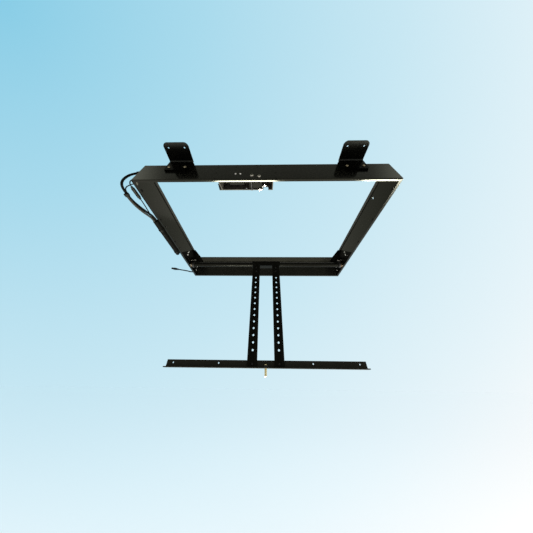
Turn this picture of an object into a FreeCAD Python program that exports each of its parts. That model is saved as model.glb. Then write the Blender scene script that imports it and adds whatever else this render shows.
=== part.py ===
"""Drop-down television mount: a shallow steel frame, a folding arm and the latch that holds the arm up.

Millimetres, +Z up, +X right, +Y away from the viewer.
The origin is midway between the screw holes of the two mounting tabs, on the tabs' underside.
"""
import FreeCAD
import Part
import math
import os

V = FreeCAD.Vector
X_AXIS = V(1, 0, 0)
Y_AXIS = V(0, 1, 0)
Z_AXIS = V(0, 0, 1)

# Frame
FRAME_WIDTH = 825.0
FRAME_DEPTH = 616.0
FRAME_HEIGHT = 96.0
SHEET = 2.5
BOTTOM_LIP = 8.0
FRONT_FLANGE = 11.0
SIDE_FLANGE = 9.0
REAR_FLANGE = 52.0
BEND_RADIUS = 2.0
FRONT_BEND_RADIUS = 4.0
EDGE_TOLERANCE = 0.01

# Mounting tabs
TAB_RISE = 19.0
TAB_INSET = 120.0
TAB_WIDTH = 82.0
TAB_REACH = 64.5
TAB_SHEET = 3.0
TAB_CORNER = 14.0
TAB_FLARE = 12.0
TAB_FLARE_NECK = 3.0
TAB_FLARE_WAIST = 9.0
TAB_SHOULDER = 88.0
TAB_FOOT_CORNER = 6.0
TAB_HOLE_REACH = 48.0
TAB_HOLE_SPREAD = 53.0
TAB_HOLE_RADIUS = 2.75
TAB_SCREW_SPREAD = 54.0
TAB_SCREW_HEIGHT = 74.0
TAB_SCREW_SHIFT = 1.5
TAB_SCREW_HEAD_RADIUS = 4.6
TAB_SCREW_HEAD = 2.6
TAB_NUT_FLATS = 8.0
TAB_NUT = 4.0
TONGUE_WIDTH = 66.0
SLOT_WIDTH = 68.5
SLOT_BOTTOM = 37.5
SLOT_TOP = 60.5
SLOT_SLANT = 12.5
BACKING_SHEET = 2.0
BACKING_WIDTH = 104.0
BACKING_LOW = 29.0
BACKING_TOP = 83.0

# Side panel screw holes
SIDE_HOLE_RADIUS = 3.5
SIDE_HOLE_FIRST = 46.0
SIDE_HOLE_PITCH = 135.0
SIDE_HOLE_COUNT = 3
SIDE_HOLE_HEIGHT = 12.0
PLUG_RIM_RADIUS = 4.8
PLUG_RIM = 1.2
SERVICE_HOLE_RADIUS = 4.5
SERVICE_HOLE_BACK = 126.0
SERVICE_HOLE_HEIGHT = 73.0

# Arm pivot
AXIS_BACK = 514.0
AXIS_HEIGHT = 14.0
TUBE_RADIUS = 12.0
TUBE_WALL = 2.0
PIVOT_RADIUS = 5.0
PIVOT_CLEARANCE = 0.05
PIVOT_REACH = 26.0
PIVOT_HEAD = 6.4
PIVOT_NUT = 6.0
HEX_FLATS = 16.0
BUSH_FLANGE = 3.0
BUSH_DEPTH = 30.0
END_GAP = 0.5
SEAT_GAP = 0.1

# Hinge plates
PLATE_SHEET = 2.5
PLATE_FOOT_BACK = 386.0
PLATE_TOP_BACK = 490.0
PLATE_WING_START = 12.5
PLATE_WING_END = 24.0
PLATE_BOLT_BACK = 449.0
PLATE_BOLT_HEIGHTS = (49.5, 33.5)
PLATE_BOLT_RADIUS = 3.0
PLATE_RIVET_INSET = 19.0
PLATE_RIVET_HEIGHTS = (50.0, 29.0)
PLATE_RIVET_RADIUS = 2.4
PLATE_BOLT_HEAD_RADIUS = 5.2
PLATE_BOLT_HEAD = 3.0
PLATE_NUT_FLATS = 10.0
PLATE_NUT = 5.0
PLATE_RIVET_HEAD_RADIUS = 4.0
PLATE_RIVET_HEAD = 1.6
PLATE_RIVET_TAIL_RADIUS = 3.6
PLATE_RIVET_TAIL = 1.2
HEAD_ROUNDING = 0.6
THREAD_END = 1.0

# Stops that hold the arm upright
COLLAR_RADIUS = 16.0
COLLAR_WIDTH = 10.0
COLLAR_INSET = 3.0
LUG_HALF = 4.0
LUG_REACH = 30.0
STOP_RADIUS = 4.0
STOP_RISE = 22.0
STOP_GAP = 0.3
STOP_OVERLAP = 1.0
STOP_TAIL_RADIUS = 5.0
STOP_TAIL = 1.5

# Arm: carrier sleeve, rails and bottom bar
CARRIER_SIDE = 28.0
CARRIER_LENGTH = 146.0
CARRIER_EAR_DROP = 45.0
EAR_SHEET = 3.0
RAIL_SPREAD = 100.0
RAIL_WIDTH = 37.0
RAIL_DEPTH = 7.0
RAIL_GROOVE = 13.0
RAIL_SHEET = 2.0
RAIL_TOP_HEIGHT = 8.0
RAIL_TOP_ROUND = 5.0
RAIL_EDGE = 1.2
RAIL_HOLE_RADIUS = 3.7
RAIL_HOLE_PITCH = 25.0
RAIL_HOLE_COUNT = 13
RAIL_FIRST_HOLE = -70.0
BAR_LENGTH = 730.0
BAR_SHEET = 3.0
BAR_LEG = 24.0
BAR_FLANGE = 24.0
BAR_TONGUE = 7.0
BAR_TONGUE_WIDTH = 26.0
BAR_BOTTOM = -425.0
BAR_HOLE_RADIUS = 2.5
BAR_HOLE_RISE = 15.0
BAR_HOLE_SPREADS = (346.0, 683.0)
RIVET_RADIUS = 2.5
RIVET_HEAD_RADIUS = 4.2
RIVET_HEAD = 1.2
EAR_RIVET_DROPS = (14.0, 34.0)
BAR_RIVET_RISE = 13.0

# Striker pin
PIN_RADIUS = 4.0
PIN_INSET = 9.0
PIN_LENGTH = 23.5
PIN_CHAMFER = 1.5
PIN_NUT = 6.0
PIN_NUT_FLATS = 13.0
PIN_END = 2.0

# Latch bracket
LATCH_BACK = 58.0
LATCH_BOTTOM = 33.5
LATCH_TOP = 71.5
LATCH_RIGHT = 24.8
LATCH_LEFT = -157.5
LATCH_LEFT_SLANT = 13.0
LATCH_SIDE = -148.0
LATCH_EAR = 17.0
LATCH_EAR_TOP = 84.0
LATCH_FOOT = 3.0
NOTCH_CENTRE = 1.0
NOTCH_HALF = 8.5
NOTCH_TOP = 51.5
NOTCH_ROUND = 4.0
SIGHT_HOLE = (-65.5, 41.5)
SIGHT_HOLE_RADIUS = 2.5
WELD_RADIUS = 2.4
WELD_HEAD = 0.5
WELD_SIDE_HEIGHTS = (77.0, 39.5, 6.5)
WELD_TOP_PLACES = (-96.5, -26.5)

# Rotary latch: claw, pawl and their pins
CLAW_X = -17.0
CLAW_HEIGHT = 52.0
CLAW_FRONT = 53.0
CLAW_SHEET = 4.0
CLAW_BODY = 12.0
CLAW_TOOTH = 16.0
CLAW_JAW = 17.8
CLAW_HOOK = 25.0
CLAW_TRIP_ANGLES = (0.0, 27.0)
CLAW_HOOK_ANGLES = (-102.0, -71.0)
CLAW_TOOTH_ANGLES = (135.5, 148.0)
CLAW_HEEL_ANGLES = (184.0, 218.0)
PAWL_X = -46.0
PAWL_HEIGHT = 42.0
PAWL_HUB = 6.0
PAWL_ARM_HALF = 2.8
PAWL_DROP = 14.0
PAWL_TAIL = 13.0
PAWL_NOSE_ANGLES = (161.0, 173.0)
PAWL_NOSE_RADII = (13.2, 20.5)
PAWL_ARM_OVERLAP = 1.3
LATCH_PIN_RADIUS = 3.0
LATCH_PIN_HEAD_RADIUS = 5.0
LATCH_PIN_HEAD = 1.6
LATCH_GAP = 0.4

# Latch foot, with its two bolts through the front panel
FOOT_SHEET = 2.5
FOOT_LEFT = -54.0
FOOT_RIGHT = -12.0
FOOT_LOW = 9.0
FOOT_BEND = 36.0
FOOT_RISE = 34.0
FOOT_TOP = 61.0
FOOT_BOLTS = ((-42.0, 21.0), (-19.0, 16.0))
FOOT_BOLT_RADIUS = 3.0
FOOT_BOLT_FLATS = 10.0
FOOT_BOLT_HEAD = 4.0
FOOT_BOLT_HEAD_RADIUS = 5.6
FOOT_BOLT_END = 7.0
FOOT_NUT = 5.0
SOCKET_FLATS = 4.0
SOCKET_DEPTH = 2.2

# Release actuator and its plunger
ACTUATOR_LEFT = -114.0
ACTUATOR_RIGHT = -68.0
ACTUATOR_DEPTH = 27.0
ACTUATOR_LOW = 16.0
ACTUATOR_TOP = 42.0
ACTUATOR_SCREWS = (-94.0, -79.0)
ACTUATOR_SCREW_HEIGHT = 33.0
ACTUATOR_SCREW_RADIUS = 1.5
ACTUATOR_SCREW_HEAD_RADIUS = 2.9
ACTUATOR_SCREW_HEAD = 2.0
ACTUATOR_SCREW_DEPTH = 5.0
ACTUATOR_SCREW_BORE = 6.0
ACTUATOR_EDGE = 2.0
PLUNGER_RADIUS = 2.5
PLUNGER_BACK = 18.0
PLUNGER_EYE = 5.0
PLUNGER_EYE_HALF = 2.0
PLUNGER_INSIDE = 20.0
PLUNGER_TRAVEL = 6.0
PLUNGER_SOCKET = 1.0
RELEASE_PIN_RADIUS = 2.0
RELEASE_SLOT = 1.2
RELEASE_PIN_END = 2.0

# Grommets, cables and what is on them
GROMMET_WALL = 1.2
GROMMET_RIM = 3.0
GROMMET_PROUD = 2.0
CABLE_RADIUS = 3.6
GREY_RADIUS = 3.2
WIRE_RADIUS = 1.6
LEAD_RADIUS = 2.6
WIRE_EXIT = (18.0, 8.5)
SENSOR_EXIT = (9.0, 21.6)
PIGTAIL_INSET = 16.0
PIGTAIL_HEIGHT = 16.0
GLAND_FLATS = 9.0
GLAND_PROUD = 2.3
GLAND_NUT_RADIUS = 4.4
ELBOW_PLACE = (11.0, 66.0)
ELBOW_BARREL = 4.6
ELBOW_BASE = 6.8
ELBOW_PROUD = 7.5
ELBOW_NUT = 7.0
ELBOW_NUT_DEPTH = 2.5
ELBOW_NOZZLE = 5.0
ELBOW_LENGTH = 14.0
ELBOW_EDGE = 2.0
ELBOW_MIDDLE = 4.5
BOOT_RADIUS = 7.0
BOOT_LENGTH = 9.0
BOOT_EDGE = 0.4
BOOT_FRONT = (25.7, 34.5, -20.0)
BLACK_IN_BOOT = (-1.1, 3.2)
GREY_IN_BOOT = (1.2, -3.6)
WIRE_IN_BOOT = (4.6, 1.4)
CONNECTOR_RADIUS = 5.2
CONNECTOR_LENGTH = 48.0
CONNECTOR_NOSE = 6.0
CONNECTOR_NOSE_RADIUS = 3.6
CONNECTOR_RIB_PITCH = 3.2
CONNECTOR_RIB_DEPTH = 0.8
CONNECTOR_RIB_COUNT = 4
SLEEVE_RADIUS = 8.5
SLEEVE_FRONT = 172.0
SLEEVE_LENGTH = 220.0
SLEEVE_OUT = 9.0
SLEEVE_HEIGHT = -2.3
SLEEVE_END_ROUNDING = 6.8
SLEEVE_EDGE = 0.2
BLACK_IN_SLEEVE = (2.2, 2.9)
GREY_IN_SLEEVE = (-1.6, -3.6)
TAIL_IN_SLEEVE = (-4.8, 2.8)
CLIP_BACKS = (216.0, 364.0)
CLIP_WIDTH = 10.0
CLIP_SHEET = 1.2
CLIP_TAB = 26.0
CLIP_SCREW_HEIGHT = 16.0
CLIP_SCREW_HEAD = 2.2
CLIP_SCREW_END = 3.0
CLIP_SCREW_RADIUS = 2.0
CLIP_SCREW_HEAD_RADIUS = 3.8
LEAD_START = (14.0, 33.0)
LEAD_HOLE_RADIUS = 4.5
PIGTAIL_RADIUS = 3.0
PLUG_RADIUS = 5.0
PLUG_LENGTH = 46.0
PLUG_BODY = 0.75
PLUG_EDGE = 1.6
PLUG_NOSE_RADIUS = 3.4

# Places that follow from the sizes above
FRONT_Y = TAB_HOLE_REACH
BOTTOM_Z = -(TAB_RISE + FRAME_HEIGHT)
HALF_WIDTH = FRAME_WIDTH / 2
TAB_CENTRE = HALF_WIDTH - TAB_INSET
BACKING_FACE = SHEET + BACKING_SHEET
INNER_WALL = HALF_WIDTH - SHEET
PLATE_FACE = INNER_WALL - PLATE_SHEET
NUT_FACE = PLATE_FACE - PIVOT_NUT
TUBE_END = NUT_FACE - END_GAP - BUSH_FLANGE
RAIL_BACK = AXIS_BACK - CARRIER_SIDE / 2
EAR_BACK = RAIL_BACK + EAR_SHEET
BAR_TOP = BAR_BOTTOM + BAR_LEG
FLANGE_FRONT = RAIL_BACK + BAR_SHEET - BAR_FLANGE
TONGUE_FRONT = FLANGE_FRONT - BAR_TONGUE
PIN_BACK = TONGUE_FRONT + PIN_INSET
PIGTAIL_BACK = FRAME_DEPTH - PIGTAIL_INSET
PIGTAIL_EXIT = (PIGTAIL_BACK, PIGTAIL_HEIGHT)
RELEASE_HEIGHT = PAWL_HEIGHT - PAWL_TAIL
CLAW_PIVOT = (CLAW_X, CLAW_HEIGHT)
PAWL_PIVOT = (PAWL_X, PAWL_HEIGHT)


def at(x, back, up):
    """A point from its distance behind the front panel's face and its height above the frame's edge."""
    return V(x, FRONT_Y + back, BOTTOM_Z + up)


def beside(out, back, up):
    """A point from its distance outside the left side panel."""
    return at(-HALF_WIDTH - out, back, up)


def box(x_low, x_high, back_low, back_high, up_low, up_high):
    """A block between two corners."""
    size = (x_high - x_low, back_high - back_low, up_high - up_low)
    return Part.makeBox(*size, at(x_low, back_low, up_low))


def rod(radius, start, direction, length):
    """A round bar."""
    return Part.makeCylinder(radius, length, start, direction)


def hexagon(flats, start, direction, length):
    """A hexagonal bar with its corners in a plane square to the direction."""
    corner = flats / math.sqrt(3)
    side = Z_AXIS if abs(direction.z) < 0.5 else X_AXIS
    other = direction.cross(side)
    turns = [math.radians(60 * i) for i in range(6)]
    points = [start + side * corner * math.cos(t) + other * corner * math.sin(t) for t in turns]
    return plate(points, direction * length)


def plate(points, travel):
    """A flat outline drawn out along a vector."""
    return Part.Face(Part.makePolygon(points + points[:1])).extrude(travel)


def fuse(*shapes):
    """Several shapes as one clean solid."""
    result = shapes[0].multiFuse(list(shapes[1:])) if len(shapes) > 1 else shapes[0]
    return result.removeSplitter()


def mirror(shape):
    """The same shape on the other side of the middle."""
    return shape.mirror(V(0, 0, 0), X_AXIS)


def rounded(shape, radius, choose):
    """Fillets the edges that the choose function picks by their middle point and direction."""
    picked = []
    for edge in shape.Edges:
        ends = [vertex.Point for vertex in edge.Vertexes]
        if len(ends) == 2 and isinstance(edge.Curve, Part.Line):
            way = (ends[1] - ends[0]).normalize()
            if choose((ends[0] + ends[1]) * 0.5, way):
                picked.append(edge)
    return shape.makeFillet(radius, picked)


def save(name, *solids):
    """Writes one named piece, or a group of like pieces, to its own file."""
    shape = solids[0] if len(solids) == 1 else Part.makeCompound(list(solids))
    whole = all(solid.isValid() and solid.Volume > 0 for solid in shape.Solids)
    print(f"{name}: {len(shape.Solids)} solid(s), {shape.Volume:.1f} mm3, valid {whole}")
    shape.exportStep(f"parts/{name}.step")


def near(value, target):
    """True where two sizes agree."""
    return abs(value - target) < EDGE_TOLERANCE


def slot_cut(side):
    """The slot in the front panel that a tab's hook passes through."""
    inner = TAB_CENTRE - SLOT_WIDTH / 2 - SLOT_SLANT / 2
    outer = TAB_CENTRE + SLOT_WIDTH / 2 - SLOT_SLANT / 2
    corners = [(inner, SLOT_BOTTOM), (outer, SLOT_BOTTOM), (outer + SLOT_SLANT, SLOT_TOP), (inner, SLOT_TOP)]
    return plate([at(side * x, -SHEET, z) for x, z in corners], V(0, 3 * SHEET, 0))


def tab_screw_places():
    """The four screws that fix the tabs: across, and height."""
    return [
        (side * (TAB_CENTRE + TAB_SCREW_SHIFT + half * TAB_SCREW_SPREAD / 2), TAB_SCREW_HEIGHT)
        for side in (-1, 1)
        for half in (-1, 1)
    ]


def front_hole(x, height, radius):
    """A cutter for a round hole through the front panel."""
    return rod(radius, at(x, -SHEET, height), Y_AXIS, 3 * SHEET)


def front_panel():
    """Front channel: tall web, short lip below and a flange above, with slots and fastener holes."""
    lip_end = HALF_WIDTH - BOTTOM_LIP
    flange_end = HALF_WIDTH - SIDE_FLANGE
    web = box(-HALF_WIDTH, HALF_WIDTH, 0, SHEET, 0, FRAME_HEIGHT)
    lip = box(-lip_end, lip_end, 0, BOTTOM_LIP, 0, SHEET)
    flange = box(-flange_end, flange_end, 0, FRONT_FLANGE, FRAME_HEIGHT - SHEET, FRAME_HEIGHT)
    panel = fuse(web, lip, flange)
    cuts = [slot_cut(-1), slot_cut(1)]
    cuts += [front_hole(x, z, TAB_HOLE_RADIUS) for x, z in tab_screw_places()]
    cuts += [front_hole(x, z, FOOT_BOLT_RADIUS) for x, z in FOOT_BOLTS]
    cuts += [front_hole(x, ACTUATOR_SCREW_HEIGHT, ACTUATOR_SCREW_RADIUS) for x in ACTUATOR_SCREWS]
    return rounded(
        panel.cut(cuts),
        FRONT_BEND_RADIUS,
        lambda mid, way: abs(way.x) > 0.99 and near(mid.y, FRONT_Y) and abs(mid.x) < 1,
    )


def side_hole(back, height, radius):
    """A cutter for a round hole through the right side panel and the plate inside it."""
    return rod(radius, at(INNER_WALL - 4 * SHEET, back, height), X_AXIS, 8 * SHEET)


def side_hole_places():
    """The row of screw holes low in each side panel: distance back, and height."""
    return [(SIDE_HOLE_FIRST + i * SIDE_HOLE_PITCH, SIDE_HOLE_HEIGHT) for i in range(SIDE_HOLE_COUNT)]


def plate_fastener_cuts():
    """Holes that the hinge plate shares with the side panel."""
    cuts = [side_hole(AXIS_BACK, AXIS_HEIGHT, PIVOT_RADIUS)]
    cuts += [side_hole(PLATE_BOLT_BACK, height, PLATE_BOLT_RADIUS) for height in PLATE_BOLT_HEIGHTS]
    rivet_back = FRAME_DEPTH - PLATE_RIVET_INSET
    cuts += [side_hole(rivet_back, height, PLATE_RIVET_RADIUS) for height in PLATE_RIVET_HEIGHTS]
    stop_back, stop_height = stop_place()
    cuts.append(side_hole(stop_back, stop_height, PLATE_BOLT_RADIUS))
    return cuts


def side_panel():
    """Right side channel, between the front panel and the rear channel."""
    far = FRAME_DEPTH - SHEET
    web = box(INNER_WALL, HALF_WIDTH, SHEET, far, 0, FRAME_HEIGHT)
    lip = box(HALF_WIDTH - BOTTOM_LIP, HALF_WIDTH, SHEET, far, 0, SHEET)
    flange = box(HALF_WIDTH - SIDE_FLANGE, HALF_WIDTH, SHEET, far, FRAME_HEIGHT - SHEET, FRAME_HEIGHT)
    cuts = plate_fastener_cuts()
    cuts += [side_hole(back, height, SIDE_HOLE_RADIUS) for back, height in side_hole_places()]
    return fuse(web, lip, flange).cut(cuts)


def rear_channel():
    """Rear channel: web, short lip below and a deep flange above."""
    front = FRAME_DEPTH - REAR_FLANGE
    lip_end = HALF_WIDTH - BOTTOM_LIP
    flange_end = HALF_WIDTH - SIDE_FLANGE
    web = box(-HALF_WIDTH, HALF_WIDTH, FRAME_DEPTH - SHEET, FRAME_DEPTH, 0, FRAME_HEIGHT)
    lip = box(-lip_end, lip_end, FRAME_DEPTH - BOTTOM_LIP, FRAME_DEPTH, 0, SHEET)
    flange = box(-flange_end, flange_end, front, FRAME_DEPTH, FRAME_HEIGHT - SHEET, FRAME_HEIGHT)
    return fuse(web, lip, flange)


def mounting_tab():
    """Right mounting tab: a shelf, a foot on the panel that flares inwards, and a tongue in the slot."""
    rise = FRAME_HEIGHT + TAB_RISE
    half = TAB_WIDTH / 2
    wide = half + TAB_FLARE
    low = SLOT_TOP - TAB_SHEET
    shelf = box(TAB_CENTRE - half, TAB_CENTRE + half, -TAB_REACH, 0, rise, rise + TAB_SHEET)
    shelf = rounded(
        shelf,
        TAB_CORNER,
        lambda mid, way: abs(way.z) > 0.99 and near(mid.y, FRONT_Y - TAB_REACH),
    )
    outline = [
        (-half, rise),
        (-half - TAB_FLARE_NECK, (FRAME_HEIGHT + rise) / 2),
        (-half - TAB_FLARE_WAIST, FRAME_HEIGHT),
        (-wide, TAB_SHOULDER),
        (-wide, low),
        (half, low),
        (half, rise),
    ]
    foot = plate([at(TAB_CENTRE + x, -TAB_SHEET, z) for x, z in outline], V(0, TAB_SHEET, 0))
    foot = rounded(
        foot,
        TAB_FOOT_CORNER,
        lambda mid, way: abs(way.y) > 0.99 and near(mid.z, BOTTOM_Z + low),
    )
    tongue_left = TAB_CENTRE - TONGUE_WIDTH / 2 - SLOT_SLANT / 2
    tongue_right = tongue_left + TONGUE_WIDTH
    tongue = box(tongue_left, tongue_right, -TAB_SHEET, SHEET - SEAT_GAP, low, SLOT_TOP - SEAT_GAP)
    tab = fuse(shelf, foot, tongue)
    tab = rounded(
        tab,
        BEND_RADIUS,
        lambda mid, way: abs(way.x) > 0.99
        and near(mid.y, FRONT_Y - TAB_SHEET)
        and near(mid.z, BOTTOM_Z + rise),
    )
    spread = TAB_HOLE_SPREAD / 2
    cuts = [
        rod(TAB_HOLE_RADIUS, at(TAB_CENTRE + end * spread, -TAB_HOLE_REACH, rise), Z_AXIS, TAB_SHEET)
        for end in (-1, 1)
    ]
    cuts += [
        rod(TAB_HOLE_RADIUS, at(x, -TAB_SHEET, z), Y_AXIS, TAB_SHEET)
        for x, z in tab_screw_places()[2:]
    ]
    return tab.cut(cuts)


def backing_plate():
    """Right backing plate, clamped behind the front panel by the tab's nuts. It closes the slot."""
    half = BACKING_WIDTH / 2
    shape = box(TAB_CENTRE - half, TAB_CENTRE + half, SHEET, BACKING_FACE, BACKING_LOW, BACKING_TOP)
    cuts = [rod(TAB_HOLE_RADIUS, at(x, SHEET, z), Y_AXIS, BACKING_SHEET) for x, z in tab_screw_places()[2:]]
    return shape.cut(cuts)


def pan_screw(radius, head_radius, head, start, direction, length):
    """A screw with a low domed head. The start is under the head."""
    shank = rod(radius, start, direction, length)
    cap = rod(head_radius, start - direction * head, direction, head)
    return fuse(rim_rounded(cap, start - direction * head, head * HEAD_ROUNDING), shank)


def rim_rounded(shape, centre, radius):
    """Rounds the round edge that lies at a centre point."""
    picked = [
        edge
        for edge in shape.Edges
        if isinstance(edge.Curve, Part.Circle) and near(edge.Curve.Center.distanceToPoint(centre), 0)
    ]
    return shape.makeFillet(radius, picked)


def hex_nut(flats, bore, start, direction, length):
    """A plain nut."""
    return hexagon(flats, start, direction, length).cut(rod(bore, start, direction, length))


def tab_fasteners():
    """Screws and nuts that fix the tabs and their backing plates to the front panel."""
    length = TAB_SHEET + BACKING_FACE + TAB_NUT + THREAD_END
    radius = TAB_HOLE_RADIUS - SEAT_GAP
    screws = [
        pan_screw(radius, TAB_SCREW_HEAD_RADIUS, TAB_SCREW_HEAD, at(x, -TAB_SHEET, z), Y_AXIS, length)
        for x, z in tab_screw_places()
    ]
    nuts = [
        hex_nut(TAB_NUT_FLATS, TAB_HOLE_RADIUS, at(x, BACKING_FACE, z), Y_AXIS, TAB_NUT)
        for x, z in tab_screw_places()
    ]
    return screws, nuts


def hole_plug(side, back, height):
    """A plastic plug pushed into a side panel's screw hole from inside."""
    inner = side * INNER_WALL
    outwards = X_AXIS * side
    rim = rod(PLUG_RIM_RADIUS, at(inner, back, height) - outwards * PLUG_RIM, outwards, PLUG_RIM)
    return fuse(rim, rod(SIDE_HOLE_RADIUS, at(inner, back, height), outwards, SHEET))


def stop_place():
    """The stop pin: distance back, and height."""
    return AXIS_BACK - LUG_HALF - STOP_RADIUS - STOP_GAP, AXIS_HEIGHT + STOP_RISE


def hinge_plate():
    """Right hinge plate: slanted front edge, and a top wing that widens towards the rear."""
    far = FRAME_DEPTH - SHEET
    top = FRAME_HEIGHT - SHEET
    outline = [(PLATE_FOOT_BACK, SHEET), (PLATE_TOP_BACK, top), (far, top), (far, SHEET)]
    web = plate([at(PLATE_FACE, back, z) for back, z in outline], V(PLATE_SHEET, 0, 0))
    wing_far = FRAME_DEPTH - REAR_FLANGE
    wing = [
        (INNER_WALL, PLATE_TOP_BACK),
        (INNER_WALL - PLATE_WING_START, PLATE_TOP_BACK),
        (INNER_WALL - PLATE_WING_END, wing_far),
        (INNER_WALL - PLATE_WING_END, far),
        (INNER_WALL, far),
    ]
    shelf = plate([at(x, back, top - PLATE_SHEET) for x, back in wing], V(0, 0, PLATE_SHEET))
    return fuse(web, shelf).cut(plate_fastener_cuts())


def hinge_fasteners():
    """Bolts, nuts, rivets and the stop pin of the right hinge plate."""
    grip = PLATE_SHEET + SHEET
    length = grip + PLATE_NUT + THREAD_END
    head = (PLATE_BOLT_HEAD_RADIUS, PLATE_BOLT_HEAD)
    bolts = []
    nuts = []
    for height in PLATE_BOLT_HEIGHTS:
        face = at(PLATE_FACE, PLATE_BOLT_BACK, height)
        outside = at(HALF_WIDTH, PLATE_BOLT_BACK, height)
        bolts.append(pan_screw(PLATE_BOLT_RADIUS, *head, face, X_AXIS, length))
        nuts.append(hex_nut(PLATE_NUT_FLATS, PLATE_BOLT_RADIUS, outside, X_AXIS, PLATE_NUT))
    rivets = []
    for height in PLATE_RIVET_HEIGHTS:
        face = at(PLATE_FACE, FRAME_DEPTH - PLATE_RIVET_INSET, height)
        shank = pan_screw(PLATE_RIVET_RADIUS, PLATE_RIVET_HEAD_RADIUS, PLATE_RIVET_HEAD, face, X_AXIS, grip)
        tail = rod(PLATE_RIVET_TAIL_RADIUS, face + X_AXIS * grip, X_AXIS, PLATE_RIVET_TAIL)
        rivets.append(fuse(shank, tail))
    return bolts, nuts, rivets


def stop_pin():
    """Right stop pin: shouldered against the hinge plate and riveted outside the side panel."""
    back, height = stop_place()
    inner = TUBE_END - COLLAR_INSET - COLLAR_WIDTH - STOP_OVERLAP
    body = rod(STOP_RADIUS, at(inner, back, height), X_AXIS, PLATE_FACE - inner)
    shank = rod(PLATE_BOLT_RADIUS, at(PLATE_FACE, back, height), X_AXIS, PLATE_SHEET + SHEET)
    tail = rod(STOP_TAIL_RADIUS, at(HALF_WIDTH, back, height), X_AXIS, STOP_TAIL)
    return fuse(rim_rounded(body, at(inner, back, height), STOP_OVERLAP), shank, tail)


def pivot_bolt():
    """Right pivot bolt: head outside the side panel, plain shank in the tube's bush."""
    inner = TUBE_END - PIVOT_REACH
    shank = rod(PIVOT_RADIUS, at(inner, AXIS_BACK, AXIS_HEIGHT), X_AXIS, HALF_WIDTH - inner)
    head = hexagon(HEX_FLATS, at(HALF_WIDTH, AXIS_BACK, AXIS_HEIGHT), X_AXIS, PIVOT_HEAD)
    return fuse(shank, head)


def pivot_nut():
    """Right pivot nut, tightened against the hinge plate."""
    return hex_nut(HEX_FLATS, PIVOT_RADIUS, at(NUT_FACE, AXIS_BACK, AXIS_HEIGHT), X_AXIS, PIVOT_NUT)


def hinge_tube():
    """The tube that the arm turns on."""
    start = at(-TUBE_END, AXIS_BACK, AXIS_HEIGHT)
    tube = rod(TUBE_RADIUS, start, X_AXIS, 2 * TUBE_END)
    return tube.cut(rod(TUBE_RADIUS - TUBE_WALL, start, X_AXIS, 2 * TUBE_END))


def pivot_bush():
    """Right flanged bush, pressed into the tube's end."""
    bore = PIVOT_RADIUS + PIVOT_CLEARANCE
    start = at(TUBE_END - BUSH_DEPTH, AXIS_BACK, AXIS_HEIGHT)
    plug = rod(TUBE_RADIUS - TUBE_WALL, start, X_AXIS, BUSH_DEPTH)
    rim = rod(TUBE_RADIUS, at(TUBE_END, AXIS_BACK, AXIS_HEIGHT), X_AXIS, BUSH_FLANGE)
    return fuse(plug, rim).cut(rod(bore, start, X_AXIS, BUSH_DEPTH + BUSH_FLANGE))


def stop_collar():
    """Right stop collar: a ring on the tube with a lug that meets the stop pin."""
    inner = TUBE_END - COLLAR_INSET - COLLAR_WIDTH
    centre = at(inner, AXIS_BACK, AXIS_HEIGHT)
    ring = rod(COLLAR_RADIUS, centre, X_AXIS, COLLAR_WIDTH)
    lug = box(
        inner,
        inner + COLLAR_WIDTH,
        AXIS_BACK - LUG_HALF,
        AXIS_BACK + LUG_HALF,
        AXIS_HEIGHT,
        AXIS_HEIGHT + LUG_REACH,
    )
    return fuse(ring, lug).cut(rod(TUBE_RADIUS, centre, X_AXIS, COLLAR_WIDTH))


def rail_carrier():
    """Square sleeve round the tube, with an ear behind each rail."""
    half = CARRIER_SIDE / 2
    bore = TUBE_RADIUS + SEAT_GAP
    end = CARRIER_LENGTH / 2
    low = AXIS_HEIGHT - half
    outer = box(-end, end, RAIL_BACK, AXIS_BACK + half, low, low + CARRIER_SIDE)
    outer = rounded(outer, BEND_RADIUS, lambda mid, way: abs(way.x) > 0.99 and mid.z > BOTTOM_Z + low + 1)
    inner = box(-end, end, AXIS_BACK - bore, AXIS_BACK + bore, AXIS_HEIGHT - bore, AXIS_HEIGHT + bore)
    ears = [
        box(
            side * RAIL_SPREAD / 2 - RAIL_WIDTH / 2,
            side * RAIL_SPREAD / 2 + RAIL_WIDTH / 2,
            RAIL_BACK,
            EAR_BACK,
            low - CARRIER_EAR_DROP,
            low,
        )
        for side in (-1, 1)
    ]
    sleeve = outer.cut(inner)
    carrier = fuse(sleeve, *ears)
    return carrier.cut([rail_rivet_hole(side, z) for side in (-1, 1) for z in ear_rivet_heights()])


def ear_rivet_heights():
    """Heights of the rivets that join each rail to the carrier's ear."""
    return [AXIS_HEIGHT - CARRIER_SIDE / 2 - drop for drop in EAR_RIVET_DROPS]


def rail_rivet_hole(side, height):
    """A cutter for a rivet hole in the groove of one rail."""
    start = at(side * RAIL_SPREAD / 2, RAIL_BACK - RAIL_SHEET, height)
    return rod(RIVET_RADIUS, start, Y_AXIS, RAIL_SHEET + EAR_SHEET)


def rail_rivet(side, height):
    """A rivet with a low head in the rail's groove and a formed tail behind the ear or bar."""
    start = at(side * RAIL_SPREAD / 2, RAIL_BACK - RAIL_SHEET, height)
    body = pan_screw(RIVET_RADIUS, RIVET_HEAD_RADIUS, RIVET_HEAD, start, Y_AXIS, RAIL_SHEET + EAR_SHEET)
    tail = rod(RIVET_HEAD_RADIUS, start + Y_AXIS * (RAIL_SHEET + EAR_SHEET), Y_AXIS, RIVET_HEAD)
    return fuse(body, tail)


def rail_hole_heights():
    """Heights of the rail's screw holes, from the top."""
    return [RAIL_FIRST_HOLE - i * RAIL_HOLE_PITCH for i in range(RAIL_HOLE_COUNT)]


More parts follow.
